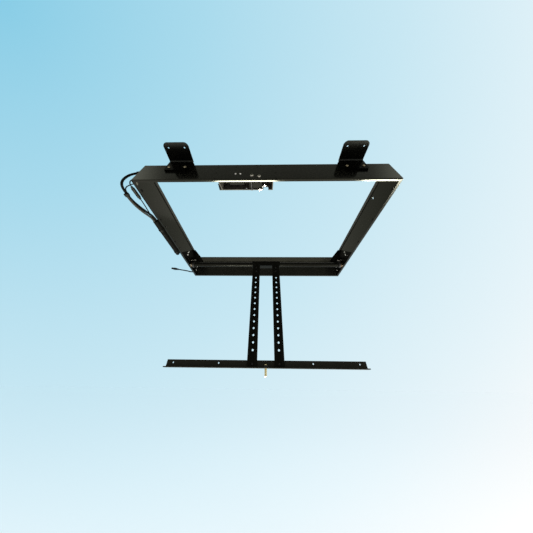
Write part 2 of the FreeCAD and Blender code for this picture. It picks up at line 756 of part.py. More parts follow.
def rail(side):
    """A pressed rail: two raised ribs with rounded tops and a grooved strip of holes between them."""
    centre = side * RAIL_SPREAD / 2
    half = RAIL_WIDTH / 2
    groove = RAIL_GROOVE / 2
    front = RAIL_BACK - RAIL_DEPTH
    foot = BAR_BOTTOM + BAR_SHEET
    blank = box(centre - half, centre + half, front, RAIL_BACK, foot, RAIL_TOP_HEIGHT)
    hollows = [box(centre - groove, centre + groove, front, RAIL_BACK - RAIL_SHEET, foot, RAIL_TOP_HEIGHT)]
    for way in (-1, 1):
        edges = sorted((centre + way * (groove + RAIL_SHEET), centre + way * (half - RAIL_SHEET)))
        hollows.append(box(*edges, front + RAIL_SHEET, RAIL_BACK, foot, RAIL_TOP_HEIGHT - RAIL_SHEET))
    shape = blank.cut(hollows)
    shape = rounded(
        shape,
        RAIL_TOP_ROUND,
        lambda mid, way: abs(way.y) > 0.99
        and near(mid.z, BOTTOM_Z + RAIL_TOP_HEIGHT)
        and near(abs(mid.x - centre), half),
    )
    shape = rounded(
        shape,
        RAIL_EDGE,
        lambda mid, way: abs(way.z) > 0.99 and near(mid.y, FRONT_Y + front),
    )
    cuts = [
        rod(RAIL_HOLE_RADIUS, at(centre, RAIL_BACK - 2 * RAIL_SHEET, z), Y_AXIS, 3 * RAIL_SHEET)
        for z in rail_hole_heights()
    ]
    cuts += [rail_rivet_hole(side, z) for z in ear_rivet_heights() + [BAR_BOTTOM + BAR_RIVET_RISE]]
    return shape.cut(cuts)


def bottom_bar():
    """Bottom angle: a leg behind the rails, and a flange forwards with a tongue for the striker."""
    half = BAR_LENGTH / 2
    leg = box(-half, half, RAIL_BACK, RAIL_BACK + BAR_SHEET, BAR_BOTTOM, BAR_TOP)
    flange = box(-half, half, FLANGE_FRONT, RAIL_BACK + BAR_SHEET, BAR_BOTTOM, BAR_BOTTOM + BAR_SHEET)
    middle = BAR_TONGUE_WIDTH / 2
    tongue = box(-middle, middle, TONGUE_FRONT, FLANGE_FRONT, BAR_BOTTOM, BAR_BOTTOM + BAR_SHEET)
    bar = fuse(leg, flange, tongue)
    bar = rounded(
        bar,
        BEND_RADIUS,
        lambda mid, way: abs(way.x) > 0.99
        and near(mid.z, BOTTOM_Z + BAR_BOTTOM)
        and near(mid.y, FRONT_Y + RAIL_BACK + BAR_SHEET),
    )
    cuts = [
        rod(BAR_HOLE_RADIUS, at(side * spread / 2, RAIL_BACK, BAR_BOTTOM + BAR_HOLE_RISE), Y_AXIS, BAR_SHEET)
        for spread in BAR_HOLE_SPREADS
        for side in (-1, 1)
    ]
    cuts += [rail_rivet_hole(side, BAR_BOTTOM + BAR_RIVET_RISE) for side in (-1, 1)]
    cuts.append(rod(PIN_RADIUS, at(0, PIN_BACK, BAR_BOTTOM), Z_AXIS, BAR_SHEET))
    return bar.cut(cuts)


def striker_pin():
    """The pin under the bar that the latch catches, with a chamfered tip."""
    tip = BAR_BOTTOM - PIN_LENGTH
    start = at(0, PIN_BACK, tip)
    point = Part.makeCone(PIN_RADIUS - PIN_CHAMFER, PIN_RADIUS, PIN_CHAMFER, start, Z_AXIS)
    length = PIN_LENGTH - PIN_CHAMFER + BAR_SHEET + PIN_NUT + PIN_END
    return fuse(point, rod(PIN_RADIUS, start + Z_AXIS * PIN_CHAMFER, Z_AXIS, length))


def striker_nut():
    """The nut that clamps the striker pin on the bar's flange."""
    return hex_nut(PIN_NUT_FLATS, PIN_RADIUS, at(0, PIN_BACK, BAR_BOTTOM + BAR_SHEET), Z_AXIS, PIN_NUT)


def bracket_weld_places():
    """Rivets of the latch bracket: across, and height."""
    left = LATCH_SIDE - LATCH_EAR / 2
    right = LATCH_RIGHT + LATCH_EAR / 2
    places = [(x, z) for x in (left, right) for z in WELD_SIDE_HEIGHTS]
    return places + [(x, WELD_SIDE_HEIGHTS[0]) for x in WELD_TOP_PLACES]


def latch_bracket():
    """The bracket behind the front panel: a notched plate, two sides, a top and ears on the panel."""
    far = LATCH_BACK + SHEET
    slanted = LATCH_LEFT - LATCH_LEFT_SLANT
    outline = [
        (LATCH_LEFT, LATCH_BOTTOM),
        (LATCH_RIGHT, LATCH_BOTTOM),
        (LATCH_RIGHT, LATCH_TOP),
        (slanted, LATCH_TOP),
    ]
    face = plate([at(x, LATCH_BACK, z) for x, z in outline], V(0, SHEET, 0))
    top = box(LATCH_SIDE, LATCH_RIGHT, SHEET, far, LATCH_TOP - SHEET, LATCH_TOP)
    side = [(SHEET, LATCH_FOOT), (far, LATCH_BOTTOM), (far, LATCH_TOP), (SHEET, LATCH_TOP)]
    sides = [
        plate([at(x, back, z) for back, z in side], V(SHEET, 0, 0))
        for x in (LATCH_SIDE, LATCH_RIGHT - SHEET)
    ]
    ears = [
        box(LATCH_SIDE - LATCH_EAR, LATCH_SIDE, SHEET, 2 * SHEET, LATCH_FOOT, LATCH_EAR_TOP),
        box(LATCH_RIGHT, LATCH_RIGHT + LATCH_EAR, SHEET, 2 * SHEET, LATCH_FOOT, LATCH_EAR_TOP),
        box(LATCH_SIDE, LATCH_RIGHT, SHEET, 2 * SHEET, LATCH_TOP - SHEET, LATCH_EAR_TOP),
    ]
    left = NOTCH_CENTRE - NOTCH_HALF
    right = NOTCH_CENTRE + NOTCH_HALF
    notch = box(left, right, LATCH_BACK, far, LATCH_BOTTOM - SHEET, NOTCH_TOP)
    notch = rounded(
        notch,
        NOTCH_ROUND,
        lambda mid, way: abs(way.y) > 0.99 and near(mid.z, BOTTOM_Z + NOTCH_TOP),
    )
    across, height = SIGHT_HOLE
    cuts = [notch, rod(SIGHT_HOLE_RADIUS, at(across, LATCH_BACK, height), Y_AXIS, SHEET)]
    cuts += [rod(LATCH_PIN_RADIUS, at(x, LATCH_BACK, z), Y_AXIS, SHEET) for x, z in (CLAW_PIVOT, PAWL_PIVOT)]
    cuts.append(rod(LEAD_HOLE_RADIUS, at(LATCH_SIDE - SHEET, *LEAD_START), X_AXIS, 3 * SHEET))
    return fuse(face, top, *sides, *ears).cut(cuts)


def bracket_rivet(x, height):
    """A low round rivet on the front panel's face, flush behind."""
    start = at(x, -WELD_HEAD, height)
    return rim_rounded(rod(WELD_RADIUS, start, Y_AXIS, WELD_HEAD), start, WELD_HEAD * HEAD_ROUNDING)


def latch_point(centre, radius, degrees):
    """A point in the latch's plane from a pivot, a radius and an angle that grows from +X to +Z."""
    turn = math.radians(degrees)
    return at(centre[0] + radius * math.cos(turn), CLAW_FRONT, centre[1] + radius * math.sin(turn))


def sector(centre, radius, low, high):
    """A pie slice of latch plate, with a round rim."""
    start = latch_point(centre, radius, low)
    middle = latch_point(centre, radius, (low + high) / 2)
    end = latch_point(centre, radius, high)
    hub = at(centre[0], CLAW_FRONT, centre[1])
    rim = Part.Arc(start, middle, end).toShape()
    wire = Part.Wire([Part.makeLine(hub, start), rim, Part.makeLine(end, hub)])
    return Part.Face(wire).extrude(V(0, CLAW_SHEET, 0))


def pivot_hole(centre):
    """A cutter for the running bore of the claw or the pawl."""
    return rod(LATCH_PIN_RADIUS + PIVOT_CLEARANCE, at(centre[0], CLAW_FRONT, centre[1]), Y_AXIS, CLAW_SHEET)


def claw():
    """The claw, open: a trip jaw over the throat, a hook that swings under the pin, and two teeth."""
    body = rod(CLAW_BODY, at(CLAW_X, CLAW_FRONT, CLAW_HEIGHT), Y_AXIS, CLAW_SHEET)
    trip = sector(CLAW_PIVOT, CLAW_JAW, *CLAW_TRIP_ANGLES)
    hook = sector(CLAW_PIVOT, CLAW_HOOK, *CLAW_HOOK_ANGLES)
    tooth = sector(CLAW_PIVOT, CLAW_TOOTH, *CLAW_TOOTH_ANGLES)
    heel = sector(CLAW_PIVOT, CLAW_TOOTH, *CLAW_HEEL_ANGLES)
    shape = fuse(body, trip, hook, tooth, heel)
    return shape.cut(pivot_hole(CLAW_PIVOT))


def pawl_dropped():
    """The pawl with its nose over the closed claw's tooth."""
    hub = rod(PAWL_HUB, at(PAWL_X, CLAW_FRONT, PAWL_HEIGHT), Y_AXIS, CLAW_SHEET)
    high, low = PAWL_NOSE_ANGLES
    near_radius, far_radius = PAWL_NOSE_RADII
    neck_low = latch_point(CLAW_PIVOT, far_radius, low)
    neck_high = latch_point(CLAW_PIVOT, far_radius, high)
    tip_low = latch_point(CLAW_PIVOT, near_radius, low)
    tip_high = latch_point(CLAW_PIVOT, near_radius, high)
    nose = plate([tip_low, tip_high, neck_high, neck_low], V(0, CLAW_SHEET, 0))
    reach = (neck_low + neck_high) * 0.5 - at(PAWL_X, CLAW_FRONT, PAWL_HEIGHT)
    across = V(-reach.z, 0, reach.x).normalize() * PAWL_ARM_HALF
    start = at(PAWL_X, CLAW_FRONT, PAWL_HEIGHT)
    end = start + reach + V(reach).normalize() * PAWL_ARM_OVERLAP
    arm = plate([start - across, end - across, end + across, start + across], V(0, CLAW_SHEET, 0))
    tail = box(
        PAWL_X - PAWL_ARM_HALF,
        PAWL_X + PAWL_ARM_HALF,
        CLAW_FRONT,
        CLAW_FRONT + CLAW_SHEET,
        RELEASE_HEIGHT - PAWL_ARM_HALF,
        PAWL_HEIGHT,
    )
    tail.rotate(start, Y_AXIS, PAWL_DROP)
    return fuse(hub, nose, arm, tail)


def pawl():
    """The pawl as it stands at rest, lifted clear of the claw, with its release pin."""
    shape = pawl_dropped()
    shape.rotate(at(PAWL_X, CLAW_FRONT, PAWL_HEIGHT), Y_AXIS, -PAWL_DROP)
    reach = CLAW_FRONT - (PLUNGER_BACK - PLUNGER_EYE_HALF - RELEASE_PIN_END)
    start = at(PAWL_X, CLAW_FRONT - reach, RELEASE_HEIGHT)
    pin = rod(RELEASE_PIN_RADIUS, start, Y_AXIS, reach + CLAW_SHEET)
    return fuse(shape, pin).cut(pivot_hole(PAWL_PIVOT))


def latch_pivot(centre):
    """A shouldered pin, riveted into the bracket and the foot plate, that carries the claw or the pawl."""
    start = at(centre[0], CLAW_FRONT - LATCH_GAP - FOOT_SHEET, centre[1])
    length = LATCH_GAP + FOOT_SHEET + (LATCH_BACK - CLAW_FRONT) + SHEET
    pin = rod(LATCH_PIN_RADIUS, start, Y_AXIS, length)
    head = rod(LATCH_PIN_HEAD_RADIUS, start - Y_AXIS * LATCH_PIN_HEAD, Y_AXIS, LATCH_PIN_HEAD)
    tail = rod(LATCH_PIN_HEAD_RADIUS, start + Y_AXIS * length, Y_AXIS, LATCH_PIN_HEAD)
    return fuse(pin, head, tail)


def latch_spacer(centre):
    """A washer that keeps the claw or the pawl off the bracket."""
    start = at(centre[0], CLAW_FRONT + CLAW_SHEET + LATCH_GAP, centre[1])
    length = LATCH_BACK - CLAW_FRONT - CLAW_SHEET - LATCH_GAP
    return rod(LATCH_PIN_HEAD_RADIUS, start, Y_AXIS, length).cut(rod(LATCH_PIN_RADIUS, start, Y_AXIS, length))


def latch_foot():
    """A bent plate from the front panel to the front ends of the two latch pins."""
    front = SHEET
    back = CLAW_FRONT - LATCH_GAP
    width = FOOT_RIGHT - FOOT_LEFT
    outline = [
        (front, FOOT_LOW),
        (front, FOOT_BEND + FOOT_SHEET),
        (back - FOOT_SHEET, FOOT_RISE + FOOT_SHEET),
        (back - FOOT_SHEET, FOOT_TOP),
        (back, FOOT_TOP),
        (back, FOOT_RISE),
        (front + FOOT_SHEET, FOOT_BEND),
        (front + FOOT_SHEET, FOOT_LOW),
    ]
    shape = plate([at(FOOT_LEFT, y, z) for y, z in outline], V(width, 0, 0))
    cuts = [rod(FOOT_BOLT_RADIUS, at(x, 0, z), Y_AXIS, 3 * SHEET) for x, z in FOOT_BOLTS]
    cuts += [
        rod(LATCH_PIN_RADIUS, at(x, back - FOOT_SHEET, z), Y_AXIS, FOOT_SHEET)
        for x, z in (CLAW_PIVOT, PAWL_PIVOT)
    ]
    return shape.cut(cuts)


def socket_bolt(x, height):
    """A bolt with a domed socket head on the front panel."""
    start = at(x, 0, height)
    length = SHEET + FOOT_SHEET + FOOT_BOLT_END
    body = pan_screw(FOOT_BOLT_RADIUS, FOOT_BOLT_HEAD_RADIUS, FOOT_BOLT_HEAD, start, Y_AXIS, length)
    socket = hexagon(SOCKET_FLATS, start - Y_AXIS * FOOT_BOLT_HEAD, Y_AXIS, SOCKET_DEPTH)
    return body.cut(socket)


def actuator():
    """The release actuator: a small box with a bore for its plunger."""
    body = box(ACTUATOR_LEFT, ACTUATOR_RIGHT, SHEET, SHEET + ACTUATOR_DEPTH, ACTUATOR_LOW, ACTUATOR_TOP)
    body = rounded(body, ACTUATOR_EDGE, lambda mid, way: abs(way.x) > 0.99 and mid.y > FRONT_Y + BACKING_FACE)
    inside = PLUNGER_INSIDE + PLUNGER_TRAVEL
    bore = rod(
        PLUNGER_RADIUS + PIVOT_CLEARANCE,
        at(ACTUATOR_RIGHT - inside, PLUNGER_BACK, RELEASE_HEIGHT),
        X_AXIS,
        inside,
    )
    screws = [
        rod(ACTUATOR_SCREW_RADIUS, at(x, SHEET, ACTUATOR_SCREW_HEIGHT), Y_AXIS, ACTUATOR_SCREW_BORE)
        for x in ACTUATOR_SCREWS
    ]
    return body.cut([bore] + screws)


def plunger():
    """The plunger: a rod from the actuator with a slotted eye round the pawl's release pin."""
    start = at(ACTUATOR_RIGHT - PLUNGER_INSIDE, PLUNGER_BACK, RELEASE_HEIGHT)
    length = PAWL_X - PLUNGER_EYE + PLUNGER_SOCKET - (ACTUATOR_RIGHT - PLUNGER_INSIDE)
    shaft = rod(PLUNGER_RADIUS, start, X_AXIS, length)
    eye = box(
        PAWL_X - PLUNGER_EYE,
        PAWL_X + PLUNGER_EYE,
        PLUNGER_BACK - PLUNGER_EYE_HALF,
        PLUNGER_BACK + PLUNGER_EYE_HALF,
        RELEASE_HEIGHT - PLUNGER_EYE,
        RELEASE_HEIGHT + PLUNGER_EYE,
    )
    width = RELEASE_PIN_RADIUS + 2 * SEAT_GAP
    slot = box(
        PAWL_X - width,
        PAWL_X + width,
        PLUNGER_BACK - PLUNGER_EYE_HALF,
        PLUNGER_BACK + PLUNGER_EYE_HALF,
        RELEASE_HEIGHT - RELEASE_PIN_RADIUS - RELEASE_SLOT,
        RELEASE_HEIGHT + RELEASE_PIN_RADIUS + RELEASE_SLOT,
    )
    return fuse(shaft, eye.cut(slot))


def grommet():
    """The pigtail's rubber grommet in the left side panel, with a rim on each face."""
    back, height = PIGTAIL_EXIT
    hole = PIGTAIL_RADIUS + GROMMET_WALL
    barrel = rod(hole, beside(0, back, height), X_AXIS, SHEET)
    rims = [
        rod(hole + GROMMET_RIM, beside(GROMMET_PROUD, back, height), X_AXIS, GROMMET_PROUD),
        rod(hole + GROMMET_RIM, beside(-SHEET, back, height), X_AXIS, GROMMET_PROUD),
    ]
    bore = rod(PIGTAIL_RADIUS, beside(GROMMET_PROUD, back, height), X_AXIS, SHEET + 2 * GROMMET_PROUD)
    return fuse(barrel, *rims).cut(bore)


def gland(place):
    """A small plated gland in the left side panel: a hexagon outside and a round nut inside."""
    back, height = place
    hole = WIRE_RADIUS + GROMMET_WALL
    barrel = rod(hole, beside(0, back, height), X_AXIS, SHEET)
    head = hexagon(GLAND_FLATS, beside(GLAND_PROUD, back, height), X_AXIS, GLAND_PROUD)
    nut = rod(GLAND_NUT_RADIUS, beside(-SHEET, back, height), X_AXIS, GROMMET_PROUD)
    whole = SHEET + GROMMET_PROUD + GLAND_PROUD
    bore = rod(WIRE_RADIUS, beside(GLAND_PROUD, back, height), X_AXIS, whole)
    return fuse(barrel, head, nut).cut(bore)


def wall_hole(place, radius):
    """A cutter for a round hole in the left side panel."""
    return rod(radius, at(-HALF_WIDTH - SHEET, place[0], place[1]), X_AXIS, 3 * SHEET)


def cord(name, points, radius):
    """A cord of straight runs joined by tangent arcs, each as large as its two runs allow."""
    edges = []
    radii = []
    start = points[0]
    for before, corner, after in zip(points, points[1:], points[2:]):
        arrive = corner - before
        leave = after - corner
        shorter = min(arrive.Length, leave.Length)
        arrive.normalize()
        leave.normalize()
        turn = arrive.getAngle(leave)
        cut = 0.45 * shorter
        bend = cut / math.tan(turn / 2)
        first = corner - arrive * cut
        last = corner + leave * cut
        inward = (leave - arrive).normalize()
        middle = corner + inward * (bend / math.cos(turn / 2) - bend)
        edges.append(Part.makeLine(start, first))
        edges.append(Part.Arc(first, middle, last).toShape())
        radii.append(bend)
        start = last
    edges.append(Part.makeLine(start, points[-1]))
    wire = Part.Wire(edges)
    ring = Part.Wire(Part.makeCircle(radius, points[0], points[1] - points[0]))
    tube = wire.makePipeShell([ring], True, False)
    expected = math.pi * radius**2 * wire.Length
    least = min(radii) / (2 * radius)
    print(f"{name}: length {wire.Length:.1f}, volume ratio {tube.Volume / expected:.4f}")
    print(f"{name}: radii {[round(r, 1) for r in radii]}, least {least:.1f} diameters")
    return tube


def elbow_way():
    """The direction in which the cable leaves the elbow."""
    return V(-0.5, -0.28, -0.82).normalize()


def elbow_centre():
    """Where the elbow's base and nozzle meet."""
    return beside(ELBOW_MIDDLE, *ELBOW_PLACE)


def cable_elbow():
    """The moulded elbow in the left side panel: a barrel with a nut inside, a base and a slanted nozzle."""
    nut = rod(ELBOW_NUT, at(-INNER_WALL, *ELBOW_PLACE), X_AXIS, ELBOW_NUT_DEPTH)
    barrel = rod(ELBOW_BARREL, at(-HALF_WIDTH, *ELBOW_PLACE), X_AXIS, SHEET)
    base = rod(ELBOW_BASE, at(-HALF_WIDTH - ELBOW_PROUD, *ELBOW_PLACE), X_AXIS, ELBOW_PROUD)
    base = rim_rounded(base, at(-HALF_WIDTH - ELBOW_PROUD, *ELBOW_PLACE), ELBOW_EDGE)
    nozzle = rod(ELBOW_NOZZLE, elbow_centre(), elbow_way(), ELBOW_LENGTH)
    return fuse(nut, barrel, base, nozzle)


def boot_way():
    """The direction of the cable boot."""
    return V(0.09, 0.994, -0.06).normalize()


def in_boot(offset, end):
    """A cable's centre on the boot's front face (end 0) or rear face (end 1)."""
    way = boot_way()
    across = V(offset[0], 0, offset[1])
    return beside(*BOOT_FRONT) + way * BOOT_LENGTH * end + across - way * across.dot(way)


def in_sleeve(offset):
    """A cable's centre on the sleeve's front face."""
    return beside(SLEEVE_OUT - offset[0], SLEEVE_FRONT, SLEEVE_HEIGHT + offset[1])


def cable_boot():
    """The heat-shrunk boot where the cables are gathered at the front corner."""
    boot = rod(BOOT_RADIUS, in_boot((0, 0), 0), boot_way(), BOOT_LENGTH)
    boot = rim_rounded(boot, in_boot((0, 0), 0), BOOT_EDGE)
    return rim_rounded(boot, in_boot((0, 0), 1), BOOT_EDGE)


def cable_loop_points():
    """The latch cable's free loop, from the elbow round the front corner to the boot."""
    start = elbow_centre() + elbow_way() * ELBOW_LENGTH
    end = in_boot(BLACK_IN_BOOT, 0)
    last = end - boot_way() * 18.5
    return [start, start + elbow_way() * 16, beside(27.0, 0.5, 19), last + V(-0.9, -13.3, 12.9), last, end]


def black_cable_points():
    """The latch cable from the boot to the loom sleeve."""
    start = in_boot(BLACK_IN_BOOT, 1)
    end = in_sleeve(BLACK_IN_SLEEVE)
    middle = [beside(20, 92, -13.5), beside(13, 123, -7)]
    return [start, start + boot_way() * 18, *middle, end - Y_AXIS * 20, end]


def grey_cable_points():
    """The grey supply cable, below the black one from the boot to the loom sleeve."""
    start = in_boot(GREY_IN_BOOT, 1)
    end = in_sleeve(GREY_IN_SLEEVE)
    middle = [beside(20.5, 92, -21), beside(15.5, 123, -14.5)]
    return [start, start + boot_way() * 18, *middle, end - Y_AXIS * 20, end]


def walk(start, steps):
    """The points reached from a start by a list of directions and lengths."""
    points = [start]
    for direction, length in steps:
        points.append(points[-1] + V(*direction).normalize() * length)
    return points


def thin_wire_points():
    """The thin wire from the side panel to the boot."""
    end = in_boot(WIRE_IN_BOOT, 0)
    last = end - boot_way() * 10.5
    inside = beside(-SHEET - GROMMET_PROUD, *WIRE_EXIT)
    return [inside, beside(8, *WIRE_EXIT), beside(15, 17, -2), last + V(3.4, -7.4, 6.6), last, end]


def connector_way():
    """The direction of the in-line connector."""
    return V(0, 1, 0.03).normalize()


def inline_connector():
    """The in-line connector: a ribbed body with a stepped nose at each end."""
    front = connector_lead_points()[-1]
    way = connector_way()
    body = rod(CONNECTOR_RADIUS, front + way * CONNECTOR_NOSE, way, CONNECTOR_LENGTH - 2 * CONNECTOR_NOSE)
    noses = rod(CONNECTOR_NOSE_RADIUS, front, way, CONNECTOR_LENGTH)
    grooves = []
    first = (CONNECTOR_LENGTH - (CONNECTOR_RIB_COUNT - 1) * CONNECTOR_RIB_PITCH) / 2
    for step in range(CONNECTOR_RIB_COUNT):
        start = front + way * (first + step * CONNECTOR_RIB_PITCH)
        ring = rod(CONNECTOR_RADIUS + CONNECTOR_RIB_DEPTH, start, way, CONNECTOR_RIB_PITCH / 2)
        core = rod(CONNECTOR_RADIUS - CONNECTOR_RIB_DEPTH, start, way, CONNECTOR_RIB_PITCH / 2)
        grooves.append(ring.cut(core))
    return fuse(body, noses).cut(grooves)


def connector_lead_points():
    """The lead from the side panel to the front of the in-line connector."""
    turns = [(-0.84, 0.05, -0.54), (-0.42, 0.15, -0.89), (-0.1, 0.55, -0.83), (0, 0.88, -0.47), (0, 1, 0.03)]
    start = beside(-SHEET - GROMMET_PROUD, *SENSOR_EXIT)
    return walk(start, [((-1, 0, 0), 11)] + [(turn, 6.5) for turn in turns])


def connector_tail_points():
    """The lead from the in-line connector to the loom sleeve."""
    rear = connector_lead_points()[-1] + connector_way() * CONNECTOR_LENGTH
    end = in_sleeve(TAIL_IN_SLEEVE)
    return [rear, rear + connector_way() * 20, beside(15, 124, 3), end - Y_AXIS * 20, end]


def actuator_lead_points():
    """The actuator's lead, clipped along the inside of the front panel to the elbow."""
    return [
        at(ACTUATOR_LEFT, *LEAD_START),
        at(ACTUATOR_LEFT - 46, *LEAD_START),
        beside(-202.5, 13.2, 45),
        beside(-148.5, 14.5, 57),
        beside(-94.5, 12.5, 63),
        beside(-46.5, *ELBOW_PLACE),
        beside(-SHEET - ELBOW_NUT_DEPTH, *ELBOW_PLACE),
    ]


def loom_sleeve():
    """The sleeve that holds the cables along the left side panel, with a rounded rear end."""
    front = in_sleeve((0, 0))
    sleeve = rod(SLEEVE_RADIUS, front, Y_AXIS, SLEEVE_LENGTH)
    sleeve = rim_rounded(sleeve, front + Y_AXIS * SLEEVE_LENGTH, SLEEVE_END_ROUNDING)
    return rim_rounded(sleeve, front, SLEEVE_EDGE)


def loom_clip(back):
    """A strap round the sleeve with a tab on the side panel."""
    centre = beside(SLEEVE_OUT, back, SLEEVE_HEIGHT)
    outer = SLEEVE_RADIUS + CLIP_SHEET
    ring = rod(outer, centre, Y_AXIS, CLIP_WIDTH)
    outside = -HALF_WIDTH - CLIP_SHEET
    top = SLEEVE_HEIGHT + CLIP_TAB
    tab = box(outside, -HALF_WIDTH, back, back + CLIP_WIDTH, SLEEVE_HEIGHT, top)
    keep = box(-HALF_WIDTH - 3 * outer, -HALF_WIDTH, back, back + CLIP_WIDTH, -FRAME_HEIGHT, FRAME_HEIGHT)
    strap = fuse(ring, tab).cut(rod(SLEEVE_RADIUS, centre, Y_AXIS, CLIP_WIDTH)).common(keep)
    return strap.cut(wall_hole((back + CLIP_WIDTH / 2, CLIP_SCREW_HEIGHT), CLIP_SCREW_RADIUS))


def clip_screw(back):
    """A screw through a clip's tab into the side panel."""
    start = beside(CLIP_SHEET, back + CLIP_WIDTH / 2, CLIP_SCREW_HEIGHT)
    length = CLIP_SHEET + SHEET + CLIP_SCREW_END
    return pan_screw(CLIP_SCREW_RADIUS, CLIP_SCREW_HEAD_RADIUS, CLIP_SCREW_HEAD, start, X_AXIS, length)


def pigtail_points():
    """The route of the pigtail from the rear of the left side panel."""
    return [
        beside(-SHEET - GROMMET_PROUD, *PIGTAIL_EXIT),
        beside(22, *PIGTAIL_EXIT),
        beside(51.5, PIGTAIL_BACK + 3, 25.5),
        beside(79.5, PIGTAIL_BACK + 5, 31),
        beside(105.5, PIGTAIL_BACK + 6, 36),
    ]


def pigtail_plug():
    """The small plug on the pigtail's end, with a narrower front."""
    points = pigtail_points()
    way = (points[-1] - points[-2]).normalize()
    body_length = PLUG_LENGTH * PLUG_BODY
    shoulder = points[-1] + way * body_length
    body = rim_rounded(rod(PLUG_RADIUS, points[-1], way, body_length), points[-1], PLUG_EDGE)
    return fuse(body, rod(PLUG_NOSE_RADIUS, shoulder, way, PLUG_LENGTH - body_length))


def left_side_panel():
    """The left side panel: the right one mirrored, with the cables' and clips' holes."""
    cuts = [
        wall_hole(WIRE_EXIT, WIRE_RADIUS + GROMMET_WALL),
        wall_hole(SENSOR_EXIT, WIRE_RADIUS + GROMMET_WALL),
        wall_hole(PIGTAIL_EXIT, PIGTAIL_RADIUS + GROMMET_WALL),
        wall_hole(ELBOW_PLACE, ELBOW_BARREL),
    ]
    cuts += [wall_hole((back + CLIP_WIDTH / 2, CLIP_SCREW_HEIGHT), CLIP_SCREW_RADIUS) for back in CLIP_BACKS]
    return mirror(side_panel()).cut(cuts)


def left_hinge_plate():
    """The left hinge plate: the right one mirrored, with a window round the pigtail's grommet."""
    rim = PIGTAIL_RADIUS + GROMMET_WALL + GROMMET_RIM + END_GAP
    return mirror(hinge_plate()).cut(rod(rim, at(-INNER_WALL, *PIGTAIL_EXIT), X_AXIS, PLATE_SHEET))


def right_side_panel():
    """The right side panel, with its service hole."""
    return side_panel().cut(side_hole(SERVICE_HOLE_BACK, SERVICE_HOLE_HEIGHT, SERVICE_HOLE_RADIUS))


def build_frame():
    """The fixed frame and its hinge plates."""
    save("front_panel", front_panel())
    save("left_side_panel", left_side_panel())
    save("right_side_panel", right_side_panel())
    save("rear_channel", rear_channel())
    save("left_mounting_tab", mirror(mounting_tab()))
    save("right_mounting_tab", mounting_tab())
    save("tab_backing_plates", backing_plate(), mirror(backing_plate()))
    screws, nuts = tab_fasteners()
    save("tab_screws", *screws)
    save("tab_nuts", *nuts)
    places = side_hole_places()
    save("hole_plugs", *[hole_plug(side, back, height) for side in (-1, 1) for back, height in places])
    save("left_hinge_plate", left_hinge_plate())
    save("right_hinge_plate", hinge_plate())
    bolts, nuts, rivets = hinge_fasteners()
    save("hinge_plate_bolts", *bolts, *[mirror(bolt) for bolt in bolts])
    save("hinge_plate_nuts", *nuts, *[mirror(nut) for nut in nuts])
    save("hinge_plate_rivets", *rivets, *[mirror(rivet) for rivet in rivets])
    save("stop_pins", stop_pin(), mirror(stop_pin()))
    save("pivot_bolts", pivot_bolt(), mirror(pivot_bolt()))
    save("pivot_nuts", pivot_nut(), mirror(pivot_nut()))


def build_arm():
    """The folding arm: tube, carrier, rails, bar and striker."""
    save("hinge_tube", hinge_tube())
    save("pivot_bushes", pivot_bush(), mirror(pivot_bush()))
    save("stop_collars", stop_collar(), mirror(stop_collar()))
    save("rail_carrier", rail_carrier())
    save("left_rail", rail(-1))
    save("right_rail", rail(1))
    save("bottom_bar", bottom_bar())
    heights = ear_rivet_heights() + [BAR_BOTTOM + BAR_RIVET_RISE]
    save("rail_rivets", *[rail_rivet(side, z) for side in (-1, 1) for z in heights])
    save("striker_pin", striker_pin())
    save("striker_nut", striker_nut())


def build_latch():
    """The latch: bracket, foot, claw, pawl, pins, actuator and plunger."""
    save("latch_bracket", latch_bracket())
    save("bracket_rivets", *[bracket_rivet(x, z) for x, z in bracket_weld_places()])
    save("latch_foot", latch_foot())
    save("latch_bolts", *[socket_bolt(x, z) for x, z in FOOT_BOLTS])
    nuts = [
        hex_nut(FOOT_BOLT_FLATS, FOOT_BOLT_RADIUS, at(x, SHEET + FOOT_SHEET, z), Y_AXIS, FOOT_NUT)
        for x, z in FOOT_BOLTS
    ]
    save("latch_nuts", *nuts)
    save("latch_claw", claw())
    save("latch_pawl", pawl())
    save("latch_pins", latch_pivot(CLAW_PIVOT), latch_pivot(PAWL_PIVOT))
    save("latch_spacers", latch_spacer(CLAW_PIVOT), latch_spacer(PAWL_PIVOT))
    save("release_actuator", actuator())
    save("release_plunger", plunger())
    sizes = (ACTUATOR_SCREW_RADIUS, ACTUATOR_SCREW_HEAD_RADIUS, ACTUATOR_SCREW_HEAD)
    length = SHEET + ACTUATOR_SCREW_DEPTH
    screws = [pan_screw(*sizes, at(x, 0, ACTUATOR_SCREW_HEIGHT), Y_AXIS, length) for x in ACTUATOR_SCREWS]
    save("actuator_screws", *screws)


def build_cables():
    """The cables at the left side, with glands, elbow, boot, connector, loom, clips and pigtail."""
    save("cable_glands", gland(WIRE_EXIT), gland(SENSOR_EXIT))
    save("pigtail_grommet", grommet())
    save("cable_elbow", cable_elbow())
    save("cable_boot", cable_boot())
    save("cable_loop", cord("cable_loop", cable_loop_points(), CABLE_RADIUS))
    save("black_cable", cord("black_cable", black_cable_points(), CABLE_RADIUS))
    save("grey_cable", cord("grey_cable", grey_cable_points(), GREY_RADIUS))
    save("thin_wire", cord("thin_wire", thin_wire_points(), WIRE_RADIUS))
    save("connector_lead", cord("connector_lead", connector_lead_points(), WIRE_RADIUS))
    save("inline_connector", inline_connector())
    save("connector_tail", cord("connector_tail", connector_tail_points(), WIRE_RADIUS))
    save("actuator_lead", cord("actuator_lead", actuator_lead_points(), LEAD_RADIUS))
    save("loom_sleeve", loom_sleeve())
    save("loom_clips", *[loom_clip(back) for back in CLIP_BACKS])
    save("clip_screws", *[clip_screw(back) for back in CLIP_BACKS])
    save("pigtail", cord("pigtail", pigtail_points(), PIGTAIL_RADIUS))
    save("pigtail_plug", pigtail_plug())


